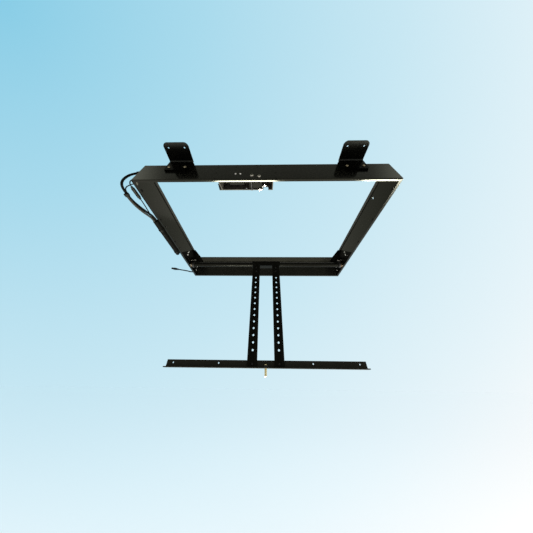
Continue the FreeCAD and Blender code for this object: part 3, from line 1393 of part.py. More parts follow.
os.makedirs("parts", exist_ok=True)
build_frame()
build_arm()
build_latch()
build_cables()
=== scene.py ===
import math

import bmesh
import bpy
from mathutils import Matrix, Vector


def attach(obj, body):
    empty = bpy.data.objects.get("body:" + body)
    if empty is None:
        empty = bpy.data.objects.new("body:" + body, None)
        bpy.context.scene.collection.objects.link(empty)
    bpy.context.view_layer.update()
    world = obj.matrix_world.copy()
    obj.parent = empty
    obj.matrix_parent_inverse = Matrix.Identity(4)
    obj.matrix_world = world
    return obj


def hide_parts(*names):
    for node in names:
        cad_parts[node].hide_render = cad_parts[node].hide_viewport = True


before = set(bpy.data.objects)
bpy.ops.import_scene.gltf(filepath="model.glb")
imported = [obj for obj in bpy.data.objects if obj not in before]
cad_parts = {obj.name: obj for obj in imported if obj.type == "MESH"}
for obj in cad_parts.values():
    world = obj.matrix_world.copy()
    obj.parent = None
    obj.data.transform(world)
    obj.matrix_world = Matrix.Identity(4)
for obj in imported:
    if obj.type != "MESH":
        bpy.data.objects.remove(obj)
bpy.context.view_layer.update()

# Frame: four channels folded from sheet steel, welded at the corners into one shallow tray with no bottom.
# It is powder coated after welding: a semi-gloss black with a fine orange peel and a few duller patches.
# The side panels are a little duller, with a paler band under their top flanges, painted light that fills the
# shade there.


def node(tree, kind, values=(), **settings):
    """A shader node with its sockets' values and its settings."""
    made = tree.nodes.new(kind)
    for name, value in settings.items():
        setattr(made, name, value)
    for name, value in dict(values).items():
        made.inputs[name].default_value = value
    return made


def between(tree, source, low, high):
    """A 0 to 1 value brought to another range."""
    span = node(tree, "ShaderNodeMapRange", {"To Min": low, "To Max": high})
    tree.links.new(source, span.inputs["Value"])
    return span.outputs["Result"]


def finish_of(name, colour, rough, metal=0.0, shine=0.5, grain=900.0, relief=0.08, patchy=0.06, worn=0.25):
    """A finish whose colour, gloss and relief vary by noise in the piece's own coordinates."""
    made = bpy.data.materials.new(name)
    made.use_nodes = True
    tree = made.node_tree
    link = tree.links.new
    shader = tree.nodes["Principled BSDF"]
    place = node(tree, "ShaderNodeTexCoord").outputs["Object"]
    broad = node(tree, "ShaderNodeTexNoise", {"Scale": 14.0, "Detail": 4.0, "Roughness": 0.6})
    streak = node(tree, "ShaderNodeTexNoise", {"Scale": 130.0, "Detail": 5.0, "Roughness": 0.7})
    fine = node(tree, "ShaderNodeTexNoise", {"Scale": grain, "Detail": 2.0})
    for texture in (broad, streak, fine):
        link(place, texture.inputs["Vector"])
    tint = node(tree, "ShaderNodeMix", data_type="RGBA")
    light = [min(1.0, part * (1 + worn) + worn * 0.003) for part in colour]
    dark = [part * (1 - worn * 0.5) for part in colour]
    tint.inputs["A"].default_value = (*dark, 1)
    tint.inputs["B"].default_value = (*light, 1)
    link(broad.outputs["Fac"], tint.inputs["Factor"])
    link(tint.outputs["Result"], shader.inputs["Base Color"])
    uneven = node(tree, "ShaderNodeMath", operation="MULTIPLY_ADD")
    uneven.inputs[1].default_value = 0.6
    link(streak.outputs["Fac"], uneven.inputs[0])
    link(between(tree, broad.outputs["Fac"], 0.0, 0.4), uneven.inputs[2])
    link(between(tree, uneven.outputs["Value"], rough - patchy, rough + patchy), shader.inputs["Roughness"])
    bump = node(tree, "ShaderNodeBump", {"Strength": relief, "Distance": 0.0004})
    link(fine.outputs["Fac"], bump.inputs["Height"])
    link(bump.outputs["Normal"], shader.inputs["Normal"])
    shader.inputs["Metallic"].default_value = metal
    shader.inputs["Specular IOR Level"].default_value = shine
    shader.inputs["Specular Tint"].default_value = (0.96, 1.0, 0.8, 1) if metal == 0 else (1, 1, 1, 1)
    return made


def sum_of(tree, operation, first, second=0.0, third=0.0):
    """One step of arithmetic on values or sockets."""
    made = node(tree, "ShaderNodeMath", operation=operation)
    for socket, value in zip(made.inputs, (first, second, third)):
        if isinstance(value, (int, float)):
            socket.default_value = value
        else:
            tree.links.new(value, socket)
    return made.outputs["Value"]


def smooth_ramp(tree, source, clear, full):
    """A soft step from 0 to 1 between two values of a socket."""
    span = {"From Min": clear, "From Max": full}
    ramp = node(tree, "ShaderNodeMapRange", span, interpolation_type="SMOOTHSTEP")
    tree.links.new(source, ramp.inputs["Value"])
    return ramp.outputs["Result"]


def paint_light_in_bands(finish, bands, colour):
    """Paler colour painted over a finish in bands, as painted light. Each is a product of ramps along the
    piece's own axes.
    """
    tree = finish.node_tree
    base = tree.nodes["Principled BSDF"].inputs["Base Color"]
    place = node(tree, "ShaderNodeSeparateXYZ")
    tree.links.new(node(tree, "ShaderNodeTexCoord").outputs["Object"], place.inputs["Vector"])
    amount = 0.0
    for band in bands:
        held = 1.0
        for axis, clear, full in band:
            held = sum_of(tree, "MULTIPLY", smooth_ramp(tree, place.outputs[axis], clear, full), held)
        amount = sum_of(tree, "MAXIMUM", held, amount)
    light_mixed = node(tree, "ShaderNodeMix", data_type="RGBA")
    light_mixed.inputs["B"].default_value = (*colour, 1)
    tree.links.new(amount, light_mixed.inputs["Factor"])
    tree.links.new(base.links[0].from_socket, light_mixed.inputs["A"])
    tree.links.new(light_mixed.outputs["Result"], base)


def coat(name, finish):
    """Gives a solid of the frame its finish."""
    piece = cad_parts[name]
    for part in piece.material_slots:
        part.material = finish


POWDER_BLACK = (0.0014, 0.0014, 0.0009)
powder_coat = finish_of(
    "semi-gloss black powder coat", POWDER_BLACK, 0.12, shine=0.25, relief=0.012, patchy=0.02
)
side_coat = finish_of("satin black powder coat", POWDER_BLACK, 0.12, shine=0.2, relief=0.012, patchy=0.02)
UNDER_TOP_FLANGE = [
    ("Z", -0.0265, -0.0217),
    ("Z", -0.0195, -0.0205),
    ("X", -0.4118, -0.4105),
    ("X", 0.4118, 0.4105),
]
# Painted light: a paler band under the top flanges fills the shade there.
paint_light_in_bands(side_coat, (UNDER_TOP_FLANGE,), (0.02, 0.0205, 0.0185))
coat("front_panel", powder_coat)
coat("left_side_panel", side_coat)
coat("right_side_panel", side_coat)

# Rear channel: the same sheet, but its deep flange sits low in the tray and catches almost no light.
# It has the frame's coat, painted several times lighter as painted light for the light it lacks, with
# blotchier tone.
rear_coat = finish_of(
    "brightened black powder coat", (0.0065, 0.0065, 0.005), 0.24, shine=0.14, relief=0.03, worn=0.6
)
coat("rear_channel", rear_coat)

# Mounting tabs: 3 mm steel bent to a shelf, with a tongue in a slot of the front panel and a plate behind it.
# They are a deeper, flatter black than the frame, with a painted reflection that lightens the outer end and a
# painted highlight in the bend.
# Two yellow-passivated pan screws with cross recesses and nuts hold each one.


FRONT_FACE = 48
LOWER_EDGE = -115


def at(across, back, up):
    """A point from millimetres behind the front panel's face and above the frame's lower edge."""
    return Vector((across, back + FRONT_FACE, up + LOWER_EDGE)) / 1000


def outline(kind, turn):
    """How far from the middle a round, six-sided or cross-shaped edge is, for a unit size."""
    if kind == "hex":
        return 1 / math.cos((turn % (math.pi / 3)) - math.pi / 6)
    if kind == "cross":
        folded = abs((turn + math.pi / 4) % (math.pi / 2) - math.pi / 4)
        return min(1 / math.cos(folded), 0.3 / max(0.001, math.sin(folded)))
    return 1.0


def turned(name, profile, sides=48):
    """A turned solid about Z, from (edge kind, radius, height) steps in millimetres, closed at both ends."""
    mesh = bmesh.new()
    rings = []
    for kind, radius, height in profile:
        ring = []
        for step in range(sides):
            turn = 2 * math.pi * step / sides
            reach = radius * outline(kind, turn) / 1000
            ring.append(mesh.verts.new((reach * math.cos(turn), reach * math.sin(turn), height / 1000)))
        rings.append(ring)
    for low, high in zip(rings, rings[1:]):
        for step in range(sides):
            mesh.faces.new((low[step - 1], low[step], high[step], high[step - 1]))
    mesh.faces.new(list(reversed(rings[0])))
    mesh.faces.new(rings[-1])
    made = bpy.data.meshes.new(name)
    mesh.to_mesh(made)
    mesh.free()
    for face in made.polygons:
        face.use_smooth = len(face.vertices) == 4
    made.set_sharp_from_angle(angle=math.radians(35))
    return made


def thread(radius, start, end, pitch=0.8):
    """The steps of a threaded shank, from its end up to its head."""
    steps = [("round", radius * 0.8, start), ("round", radius, start + pitch)]
    height = start + pitch
    while height < end - pitch:
        steps += [("round", radius * 0.87, height + pitch / 2), ("round", radius, height + pitch)]
        height += pitch
    return steps + [("round", radius * 0.9, end)]


def repeated(name, shape, places, finish, body, stands_for):
    """One piece of the same shape set at many places by a node tree, with its own turn at each place."""
    spots = bpy.data.meshes.new(name)
    spots.from_pydata([place for place, facing in places], [], [])
    facing = spots.attributes.new("facing", "FLOAT_VECTOR", "POINT")
    facing.data.foreach_set("vector", [part for place, way in places for part in way])
    piece = bpy.data.objects.new(name, spots)
    bpy.context.scene.collection.objects.link(piece)
    pattern = bpy.data.objects.new(name + "_pattern", shape)
    bpy.context.scene.collection.objects.link(pattern)
    tree = bpy.data.node_groups.new(name + " set in place", "GeometryNodeTree")
    face = tree.interface
    face.new_socket("Places", in_out="INPUT", socket_type="NodeSocketGeometry")
    for label, kind in (("Shape", "Object"), ("Finish", "Material"), ("Turn seed", "Int"), ("Size", "Float")):
        face.new_socket(label, in_out="INPUT", socket_type="NodeSocket" + kind)
    face.new_socket("Set in place", in_out="OUTPUT", socket_type="NodeSocketGeometry")
    link = tree.links.new
    given = node(tree, "NodeGroupInput")
    result = node(tree, "NodeGroupOutput")
    shown = node(tree, "GeometryNodeObjectInfo")
    way = node(tree, "GeometryNodeInputNamedAttribute", {"Name": "facing"}, data_type="FLOAT_VECTOR")
    aim = node(tree, "FunctionNodeAlignRotationToVector", axis="Z")
    chance = node(tree, "FunctionNodeRandomValue", {3: math.tau}, data_type="FLOAT")
    spin = node(tree, "FunctionNodeAxisAngleToRotation", {"Axis": (0, 0, 1)})
    turn = node(tree, "FunctionNodeRotateRotation", rotation_space="LOCAL")
    copies = node(tree, "GeometryNodeInstanceOnPoints")
    solid = node(tree, "GeometryNodeRealizeInstances")
    painted = node(tree, "GeometryNodeSetMaterial")
    link(given.outputs["Shape"], shown.inputs["Object"])
    link(given.outputs["Turn seed"], chance.inputs["Seed"])
    link(way.outputs["Attribute"], aim.inputs["Vector"])
    link(chance.outputs[1], spin.inputs["Angle"])
    link(aim.outputs["Rotation"], turn.inputs["Rotation"])
    link(spin.outputs["Rotation"], turn.inputs["Rotate By"])
    link(given.outputs["Places"], copies.inputs["Points"])
    link(shown.outputs["Geometry"], copies.inputs["Instance"])
    link(turn.outputs["Rotation"], copies.inputs["Rotation"])
    link(given.outputs["Size"], copies.inputs["Scale"])
    link(copies.outputs["Instances"], solid.inputs["Geometry"])
    link(solid.outputs["Geometry"], painted.inputs["Geometry"])
    link(given.outputs["Finish"], painted.inputs["Material"])
    link(painted.outputs["Geometry"], result.inputs["Set in place"])
    maker = piece.modifiers.new("set in place", "NODES")
    maker.node_group = tree
    wanted = {"Shape": pattern, "Finish": finish, "Turn seed": len(name), "Size": 1.0}
    for socket in face.items_tree:
        if socket.in_out == "INPUT" and socket.name in wanted:
            maker[socket.identifier] = wanted[socket.name]
    view = bpy.context.evaluated_depsgraph_get()
    settled = bpy.data.meshes.new_from_object(piece.evaluated_get(view))
    piece.modifiers.clear()
    piece.data = settled
    bpy.data.objects.remove(pattern)
    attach(piece, body)
    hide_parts(stands_for)
    return piece


TAB_CENTRE = 294
TAB_SCREW_OFFSET = 27
TAB_SCREW_UP = 74
TAB_FACE = -3
BACKING_PLATE_BACK = 4.5
TAB_SCREWS = [
    (side * (TAB_CENTRE + half * TAB_SCREW_OFFSET), TAB_SCREW_UP) for side in (-1, 1) for half in (-1, 1)
]
FORWARD = (0, -1, 0)
BACKWARD = (0, 1, 0)
tab_black = finish_of("deep black tab coat", (0.0005, 0.0005, 0.0003), 0.2, shine=0.04, relief=0.015)
OUTER_END = [("Y", 0.004, -0.017)]
INSIDE_BEND = [("Y", 0.04, 0.0435), ("Z", -0.0055, -0.003)]
# Painted reflection at the tabs' outer end and painted highlight along the inside of the bend.
paint_light_in_bands(tab_black, (OUTER_END, INSIDE_BEND), (0.013, 0.014, 0.0125))
yellow_zinc = finish_of("yellow passivated zinc", (0.5, 0.43, 0.24), 0.34, metal=1.0, grain=1800.0, worn=0.4)
zinc = finish_of("bright zinc plate", (0.6, 0.6, 0.57), 0.3, metal=1.0, grain=1800.0, worn=0.35)
tab_zinc = finish_of("dulled yellow zinc", (0.24, 0.21, 0.14), 0.4, metal=1.0, grain=1800.0, worn=0.4)
for name in ("left_mounting_tab", "right_mounting_tab", "tab_backing_plates"):
    coat(name, tab_black)
pan_head = [("round", 4.3, 0), ("round", 4.6, 0.5), ("round", 4.5, 1.4), ("round", 3.7, 2.2)]
pan_head += [("cross", 3.0, 2.5)]
cross_recess = [("cross", 2.9, 2.5), ("cross", 1.6, 1.0), ("round", 0.3, 0.8)]
tab_screw = turned("tab_screw_shape", thread(2.6, -12.4, 0) + pan_head + cross_recess, 96)
repeated(
    "tab_screw_heads",
    tab_screw,
    [(at(across, TAB_FACE, up), FORWARD) for across, up in TAB_SCREWS],
    tab_zinc,
    "frame",
    "tab_screws",
)


def nut_shape(name, flats, bore, height):
    """A six-sided nut with chamfered corners and a threaded bore."""
    half = flats / 2
    chamfer = 0.35
    outside = [("hex", half * 0.93, 0), ("hex", half, chamfer), ("hex", half, height - chamfer)]
    outside.append(("hex", half * 0.93, height))
    inside = [("round", bore * 1.12, height), ("round", bore, height - 0.4), ("round", bore, 0.4)]
    return turned(name, [("round", bore * 1.1, 0)] + outside + inside + [("round", bore * 1.09, 0.02)], 72)


repeated(
    "tab_nuts_inside",
    nut_shape("tab_nut_shape", 8, 2.75, 4),
    [(at(across, BACKING_PLATE_BACK, up), BACKWARD) for across, up in TAB_SCREWS],
    zinc,
    "frame",
    "tab_nuts",
)

# Hinge plates: doublers inside the side panels that carry the pivot, painted a blacker satin than the frame.
# Their bolts, nuts and rivets are bright zinc; the stop pins and the pivot bolts with their nuts are duller.
dull_zinc = finish_of("dull zinc plate", (0.3, 0.29, 0.25), 0.36, metal=1.0, grain=1800.0, worn=0.5)
hinge_black = finish_of("satin black hinge paint", (0.0006, 0.0006, 0.0004), 0.3, shine=0.015, relief=0.03)
for name in ("left_hinge_plate", "right_hinge_plate"):
    coat(name, hinge_black)
for name in ("stop_pins", "pivot_bolts", "pivot_nuts"):
    coat(name, dull_zinc)
INNER_WALL = 407.5
OUTER_WALL = 412.5
PLATE_BOLT_BACK = 449
PLATE_RIVET_BACK = 597
plate_bolt = thread(2.95, -10.8, 0)
plate_bolt += [("round", 5.0, 0), ("round", 5.2, 0.6), ("round", 5.0, 1.9), ("round", 3.9, 2.8)]
plate_bolt += [("hex", 1.9, 3.0), ("hex", 1.8, 1.2), ("round", 0.3, 1.1)]
PLATE_BOLTS = [(side, up) for side in (-1, 1) for up in (49.5, 33.5)]
PLATE_RIVETS = [(side, up) for side in (-1, 1) for up in (50.0, 29.0)]
repeated(
    "hinge_plate_bolt_heads",
    turned("plate_bolt_shape", plate_bolt, 72),
    [(at(side * INNER_WALL, PLATE_BOLT_BACK, up), (-side, 0, 0)) for side, up in PLATE_BOLTS],
    zinc,
    "frame",
    "hinge_plate_bolts",
)
repeated(
    "hinge_plate_nuts_outside",
    nut_shape("plate_nut_shape", 10, 3.0, 5),
    [(at(side * OUTER_WALL, PLATE_BOLT_BACK, up), (side, 0, 0)) for side, up in PLATE_BOLTS],
    zinc,
    "frame",
    "hinge_plate_nuts",
)
RIVET_DOME = [(1.0, 0.0), (1.0, 0.08), (0.94, 0.4), (0.72, 0.78), (0.4, 0.96)]


def rivet_shape(name, shank, head, dome, grip, tail):
    """A rivet with a domed head and a flatter formed tail."""
    end, wide = -grip - tail, head * 0.86
    formed = [("round", head * 0.8, end), ("round", wide, -grip - tail * 0.6), ("round", wide, -grip)]
    plain = [("round", shank, -grip), ("round", shank, 0)]
    domed = [("round", head * reach, dome * height) for reach, height in RIVET_DOME]
    return turned(name, formed + plain + domed + [("round", 0.2, dome)])


repeated(
    "hinge_plate_rivet_heads",
    rivet_shape("plate_rivet_shape", 2.4, 4.0, 1.6, 5.0, 1.2),
    [(at(side * INNER_WALL, PLATE_RIVET_BACK, up), (-side, 0, 0)) for side, up in PLATE_RIVETS],
    zinc,
    "frame",
    "hinge_plate_rivets",
)

# Arm: a steel tube turning on the pivot bolts, with a square carrier that holds two pressed rails.
# An angle bar closes the rails at the bottom. These are satin black; the bushes are oil-filled bronze,
# and the collars and rivets are black oxide steel.
HALF_RAIL_SPACING = 50
RAIL_FACE = 498
RAIL_RIVETS = [(side, up) for side in (-1, 1) for up in (-14, -34, -412)]
arm_black = finish_of("satin black arm coat", (0.0015, 0.0015, 0.001), 0.3, shine=0.06, relief=0.03)
tube_black = finish_of("black tube coat", (0.002, 0.002, 0.0015), 0.28, shine=0.05, relief=0.03)
bar_black = finish_of("black bar coat", (0.009, 0.009, 0.0065), 0.32, shine=0.07, relief=0.03, worn=0.5)
bronze = finish_of("oil-filled bronze", (0.12, 0.08, 0.04), 0.45, metal=1.0, worn=0.4)
black_steel = finish_of("black oxide steel", (0.014, 0.014, 0.013), 0.5, metal=0.8, worn=0.5)
for name, finish in (
    ("hinge_tube", tube_black),
    ("stop_collars", black_steel),
    ("pivot_bushes", bronze),
    ("rail_carrier", arm_black),
    ("left_rail", arm_black),
    ("right_rail", arm_black),
    ("bottom_bar", bar_black),
):
    coat(name, finish)
repeated(
    "rail_rivet_heads",
    rivet_shape("rail_rivet_shape", 2.5, 4.2, 1.2, 5.0, 1.2),
    [(at(side * HALF_RAIL_SPACING, RAIL_FACE, up), FORWARD) for side, up in RAIL_RIVETS],
    black_steel,
    "arm",
    "rail_rivets",
)

# Striker: a turned, yellow-passivated pin, clamped through the bar's flange by a black oxide nut.
# The latch's claw closes round it when the arm is folded up.
STRIKER_NUT_SEAT = (0, 481, -422)
coat("striker_pin", yellow_zinc)
repeated(
    "striker_nut_clamped",
    nut_shape("striker_nut_shape", 13, 4.0, 6),
    [(at(*STRIKER_NUT_SEAT), (0, 0, 1))],
    black_steel,
    "arm",
    "striker_nut",
)

# Latch: a folded bracket behind the front panel, with a notch for the striker, and the rotary claw and pawl.
# Bracket and foot are painted black, pawl, pins and spacers are black oxide, claw and plunger zinc plated.
# The actuator is a moulded shell. Hexagon socket bolts hold the foot, cross-head screws the actuator.
latch_coat = finish_of("dull black latch paint", (0.045, 0.042, 0.034), 0.5, shine=0.06)
foot_coat = finish_of("deep black foot paint", (0.0025, 0.0024, 0.002), 0.5, shine=0.03)
claw_zinc = finish_of("zinc plated latch steel", (0.5, 0.5, 0.46), 0.3, metal=1.0, grain=2400.0, worn=0.3)
shell = finish_of(
    "moulded actuator shell", (0.0025, 0.0024, 0.002), 0.5, shine=0.03, grain=1500.0, relief=0.2
)
for name, finish in (
    ("latch_bracket", latch_coat),
    ("latch_foot", foot_coat),
    ("latch_claw", claw_zinc),
    ("latch_pawl", black_steel),
    ("latch_pins", black_steel),
    ("latch_spacers", black_steel),
    ("release_actuator", shell),
    ("release_plunger", claw_zinc),
):
    coat(name, finish)
FOOT_BOLTS = ((-42, 21), (-19, 16))
FOOT_BACK = 5
ACTUATOR_SCREWS = ((-94, 33), (-79, 33))
socket_bolt = thread(2.95, -11.8, 0)
socket_bolt += [("round", 5.3, 0), ("round", 5.6, 0.6), ("round", 5.4, 2.4), ("round", 4.2, 3.8)]
socket_bolt += [("hex", 2.1, 4.0), ("hex", 2.0, 1.2), ("round", 0.3, 1.0)]
repeated(
    "latch_bolt_heads",
    turned("latch_bolt_shape", socket_bolt, 72),
    [(at(across, 0, up), FORWARD) for across, up in FOOT_BOLTS],
    dull_zinc,
    "frame",
    "latch_bolts",
)
repeated(
    "latch_nuts_inside",
    nut_shape("latch_nut_shape", 10, 3.0, 5),
    [(at(across, FOOT_BACK, up), BACKWARD) for across, up in FOOT_BOLTS],
    zinc,
    "frame",
    "latch_nuts",
)
small_screw = thread(1.45, -7.4, 0, 0.5)
small_screw += [("round", 2.7, 0), ("round", 2.9, 0.3), ("round", 2.7, 1.2), ("round", 2.0, 1.85)]
small_screw += [("cross", 1.5, 2.0), ("cross", 1.4, 2.0), ("cross", 0.8, 0.9), ("round", 0.1, 0.8)]
repeated(
    "actuator_screw_heads",
    turned("actuator_screw_shape", small_screw, 96),
    [(at(across, 0, up), FORWARD) for across, up in ACTUATOR_SCREWS],
    zinc,
    "frame",
    "actuator_screws",
)
BRACKET_RIVETS = [(across, up) for across in (-156.5, 33.3) for up in (77, 39.5, 6.5)]
BRACKET_RIVETS += [(-96.5, 77), (-26.5, 77)]
flush_rivet = [("round", 2.3, 0.0), ("round", 2.4, 0.08), ("round", 2.2, 0.32), ("round", 1.3, 0.48)]
flush_rivet += [("round", 0.2, 0.5)]
repeated(
    "bracket_rivet_heads",
    turned("bracket_rivet_shape", flush_rivet),
    [(at(across, 0, up), FORWARD) for across, up in BRACKET_RIVETS],
    tab_black,
    "frame",
    "bracket_rivets",
)

# Cables: the latch cable comes through a moulded elbow and loops round the corner into a rubber boot.
# A black and a grey cable, a thin wire and a lead with a connector go on to a sleeve held by two clips.
# At the rear a pigtail leaves a grommet and ends in a moulded plug with a ribbed grip.
CABLE_GRAIN = 2600.0
MOULDED_GRAIN = 1500.0
cable_black = finish_of(
    "black cable jacket", (0.002, 0.002, 0.0018), 0.7, shine=0.02, grain=CABLE_GRAIN, relief=0.03
)
cable_grey = finish_of(
    "grey cable jacket", (0.016, 0.015, 0.012), 0.7, shine=0.03, grain=CABLE_GRAIN, relief=0.03
)
moulded = finish_of(
    "moulded black plastic", (0.003, 0.003, 0.0028), 0.4, shine=0.06, grain=MOULDED_GRAIN, relief=0.06
)
rubber = finish_of(
    "matte grommet rubber", (0.004, 0.004, 0.0037), 0.55, shine=0.06, grain=MOULDED_GRAIN, relief=0.06
)
for name, finish in (
    ("cable_elbow", moulded),
    ("inline_connector", moulded),
    ("cable_glands", dull_zinc),
    ("pigtail_grommet", rubber),
    # The hole plugs are black fillers set in holes where only shade shows, as painted shade.
    ("hole_plugs", moulded),
    ("loom_clips", moulded),
    ("cable_boot", rubber),
    ("loom_sleeve", cable_black),
):
    coat(name, finish)
CLIP_FACE = -413.7
CLIP_SCREWS = ((221, 16), (369, 16))
clip_screw = thread(1.95, -6.6, 0, 0.7)
clip_screw += [("round", 3.6, 0), ("round", 3.8, 0.4), ("round", 3.6, 1.3), ("round", 2.7, 2.05)]
clip_screw += [("cross", 2.0, 2.2), ("cross", 1.9, 2.2), ("cross", 1.1, 1.0), ("round", 0.2, 0.9)]
repeated(
    "clip_screw_heads",
    turned("clip_screw_shape", clip_screw, 96),
    [(at(CLIP_FACE, back, up), (-1, 0, 0)) for back, up in CLIP_SCREWS],
    black_steel,
    "frame",
    "clip_screws",
)


def cable(name, route, radius, finish):
    """A cable along its route, as one smooth curve with a round section."""
    line = bpy.data.curves.new(name + "_route", "CURVE")
    line.dimensions = "3D"
    path = line.splines.new("NURBS")
    path.points.add(len(route) - 1)
    for point, place in zip(path.points, route):
        point.co = (*at(*place), 1)
    path.order_u = 3
    path.use_endpoint_u = True
    path.resolution_u = 16
    line.bevel_depth = radius / 1000
    line.bevel_resolution = 8
    line.use_fill_caps = True
    line.materials.append(finish)
    made = bpy.data.objects.new(name + "_run", line)
    bpy.context.scene.collection.objects.link(made)
    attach(made, "frame")
    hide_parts(name)


LOOP = [(-423.997, 7.081, 54.525), (-431.994, 2.603, 41.41), (-439.5, 0.5, 19), (-441.839, 3.098, -2.807),
        (-440.939, 16.398, -15.707), (-439.274, 34.789, -16.817)]
BLACK = [(-438.46, 43.74, -17.36), (-436.84, 61.63, -18.44), (-432.5, 92, -13.5), (-425.5, 123, -7),
         (-419.3, 152, 0.6), (-419.3, 172, 0.6)]
GREY = [(-436.22, 43.13, -24.12), (-434.6, 61.02, -25.2), (-433, 92, -21), (-428, 123, -14.5),
        (-423.1, 152, -5.9), (-423.1, 172, -5.9)]
WIRE = [(-408, 18, 8.5), (-420.5, 18, 8.5), (-427.5, 17, -2), (-431.175, 16.334, -11.35),
        (-434.575, 23.734, -17.95), (-433.63, 34.172, -18.58)]
LEAD = [(-408, 9, 21.6), (-419, 9, 21.6), (-424.461, 9.325, 18.089), (-427.203, 10.304, 12.278),
        (-427.853, 13.877, 6.887), (-427.853, 19.61, 3.825), (-427.853, 26.107, 4.02)]
TAIL = [(-427.85, 74.09, 5.46), (-427.85, 94.08, 6.06), (-427.5, 124, 3), (-426.3, 152, 0.5),
        (-426.3, 172, 0.5)]
INSIDE = [(-114, 14, 33), (-160, 14, 33), (-210, 13.2, 45), (-264, 14.5, 57), (-318, 12.5, 63),
          (-366, 11, 66), (-407.5, 11, 66)]
PIGTAIL = [(-408, 600, 16), (-434.5, 600, 16), (-464, 603, 25.5), (-492, 605, 31), (-518, 606, 36)]
cable("cable_loop", LOOP, 3.6, cable_black)
cable("black_cable", BLACK, 3.6, cable_black)
cable("grey_cable", GREY, 3.2, cable_grey)
cable("thin_wire", WIRE, 1.6, cable_black)
cable("connector_lead", LEAD, 1.6, cable_black)
cable("connector_tail", TAIL, 1.6, cable_black)
cable("actuator_lead", INSIDE, 2.6, cable_black)
grip = [("round", 2.9, 0.0)]
RIBS, RIB_PITCH, GROOVE = 4, 3.6, 0.8
for rib in range(RIBS):
    near, wide = RIB_PITCH * rib, 3.9 + 0.45 * rib
    narrow = wide - GROOVE
    grip += [("round", wide, near + 0.4), ("round", wide, near + 2.2)]
    grip += [("round", narrow, near + 2.6), ("round", narrow, near + 3.5)]
body = [("round", 5.4, 14.4), ("round", 6.3, 16.5), ("round", 6.5, 19), ("round", 6.5, 31)]
body += [("round", 6.1, 32.2)]
socket = [("round", 5.1, 32.8), ("round", 5.0, 45.2), ("round", 4.5, 46)]
socket += [("round", 2.8, 46), ("round", 2.8, 37), ("round", 0.3, 36.8)]
plug = repeated(
    "pigtail_plug_moulding",
    turned("pigtail_plug_shape", grip + body + socket),
    [(at(*PIGTAIL[-1]), at(*PIGTAIL[-1]) - at(*PIGTAIL[-2]))],
    moulded,
    "frame",
    "pigtail_plug",
)
cable("pigtail", PIGTAIL, 3.0, cable_black)

# Camera: close below and in front of the frame, looking up through it, with a wide lens.
# Its place, turn, lens and shift come from a fit to the frame's corners and the rails' holes.
camera = bpy.data.cameras.new("viewpoint")
camera.lens = 11.3555
camera.sensor_width = 36
camera.shift_x = 0.00469
camera.shift_y = -0.0591
camera.clip_start = 0.01
camera.clip_end = 100
viewpoint = bpy.data.objects.new("viewpoint", camera)
bpy.context.scene.collection.objects.link(viewpoint)
YAW, PITCH, ROLL = -0.0228, 0.7186, 0.0141
ahead = Vector((math.sin(YAW) * math.cos(PITCH), math.cos(YAW) * math.cos(PITCH), math.sin(PITCH)))
level = Vector((math.cos(YAW), -math.sin(YAW), 0))
above = level.cross(ahead)
right = level * math.cos(ROLL) + above * math.sin(ROLL)
upward = above * math.cos(ROLL) - level * math.sin(ROLL)
turn = Matrix((right, upward, -ahead)).transposed().to_4x4()
EYE = (0.00456, -0.2235, -0.5763)
viewpoint.matrix_world = Matrix.Translation(EYE) @ turn
bpy.context.scene.camera = viewpoint

# Backdrop: pale blue that grows lighter away from the first view's upper left corner, and fixed in the world.
# An even, near-white sky lights the part, and only the camera, glass and mirrors see the backdrop.
# Mirrors see a greyer one, dimmer straight in front of the part and brighter in front at either side.
HALF_VIEW = camera.sensor_width / 2 / camera.lens
LEAST_DEPTH = 0.12
PALER_BEHIND = 20.0
PALEST = 1.5
RAMP_STOPS = 5
MIRRORED_GREY = (0.42, 0.43, 0.36, 1)
DIMMED_IN_FRONT = 0.5
ADDED_AT_SIDES = 1.6


def along(tree, direction, axis):
    """How far a direction goes along an axis."""
    dot = node(tree, "ShaderNodeVectorMath", operation="DOT_PRODUCT")
    dot.inputs[1].default_value = axis
    tree.links.new(direction, dot.inputs[0])
    return dot.outputs["Value"]


def picture_colour(red, green, blue):
    """A colour from the values a picture has."""
    parts = [value / 255 for value in (red, green, blue)]
    return tuple(part / 12.92 if part <= 0.04045 else ((part + 0.055) / 1.055) ** 2.4 for part in parts)


def paling(tree, direction):
    """The pale blue that grows lighter away from the upper left, for a direction."""
    depth = along(tree, direction, ahead)
    behind = sum_of(tree, "MAXIMUM", sum_of(tree, "SUBTRACT", LEAST_DEPTH, depth), 0.0)
    depth = sum_of(tree, "MAXIMUM", depth, LEAST_DEPTH)
    across = sum_of(tree, "DIVIDE", along(tree, direction, right), depth)
    across = sum_of(tree, "MULTIPLY_ADD", across, 0.5 / HALF_VIEW, 0.5 - camera.shift_x)
    down = sum_of(tree, "DIVIDE", along(tree, direction, upward), depth)
    down = sum_of(tree, "MULTIPLY_ADD", down, -0.5 / HALF_VIEW, 0.5 + camera.shift_y)
    squared = sum_of(tree, "MULTIPLY_ADD", across, across, sum_of(tree, "MULTIPLY", down, down))
    reach = sum_of(tree, "MULTIPLY_ADD", behind, PALER_BEHIND, sum_of(tree, "SQRT", squared))
    ramp = node(tree, "ShaderNodeValToRGB")
    tree.links.new(sum_of(tree, "MULTIPLY", reach, 1 / PALEST), ramp.inputs["Fac"])
    while len(ramp.color_ramp.elements) < RAMP_STOPS:
        ramp.color_ramp.elements.new(0.5)
    for step, stop in enumerate(ramp.color_ramp.elements):
        stop.position = step / (RAMP_STOPS - 1)
        far = PALEST * stop.position
        stop.color = (*picture_colour(137 + 83.5 * far, 205 + 35 * far, min(255, 230 + 17.5 * far)), 1)
    return ramp.outputs["Color"]


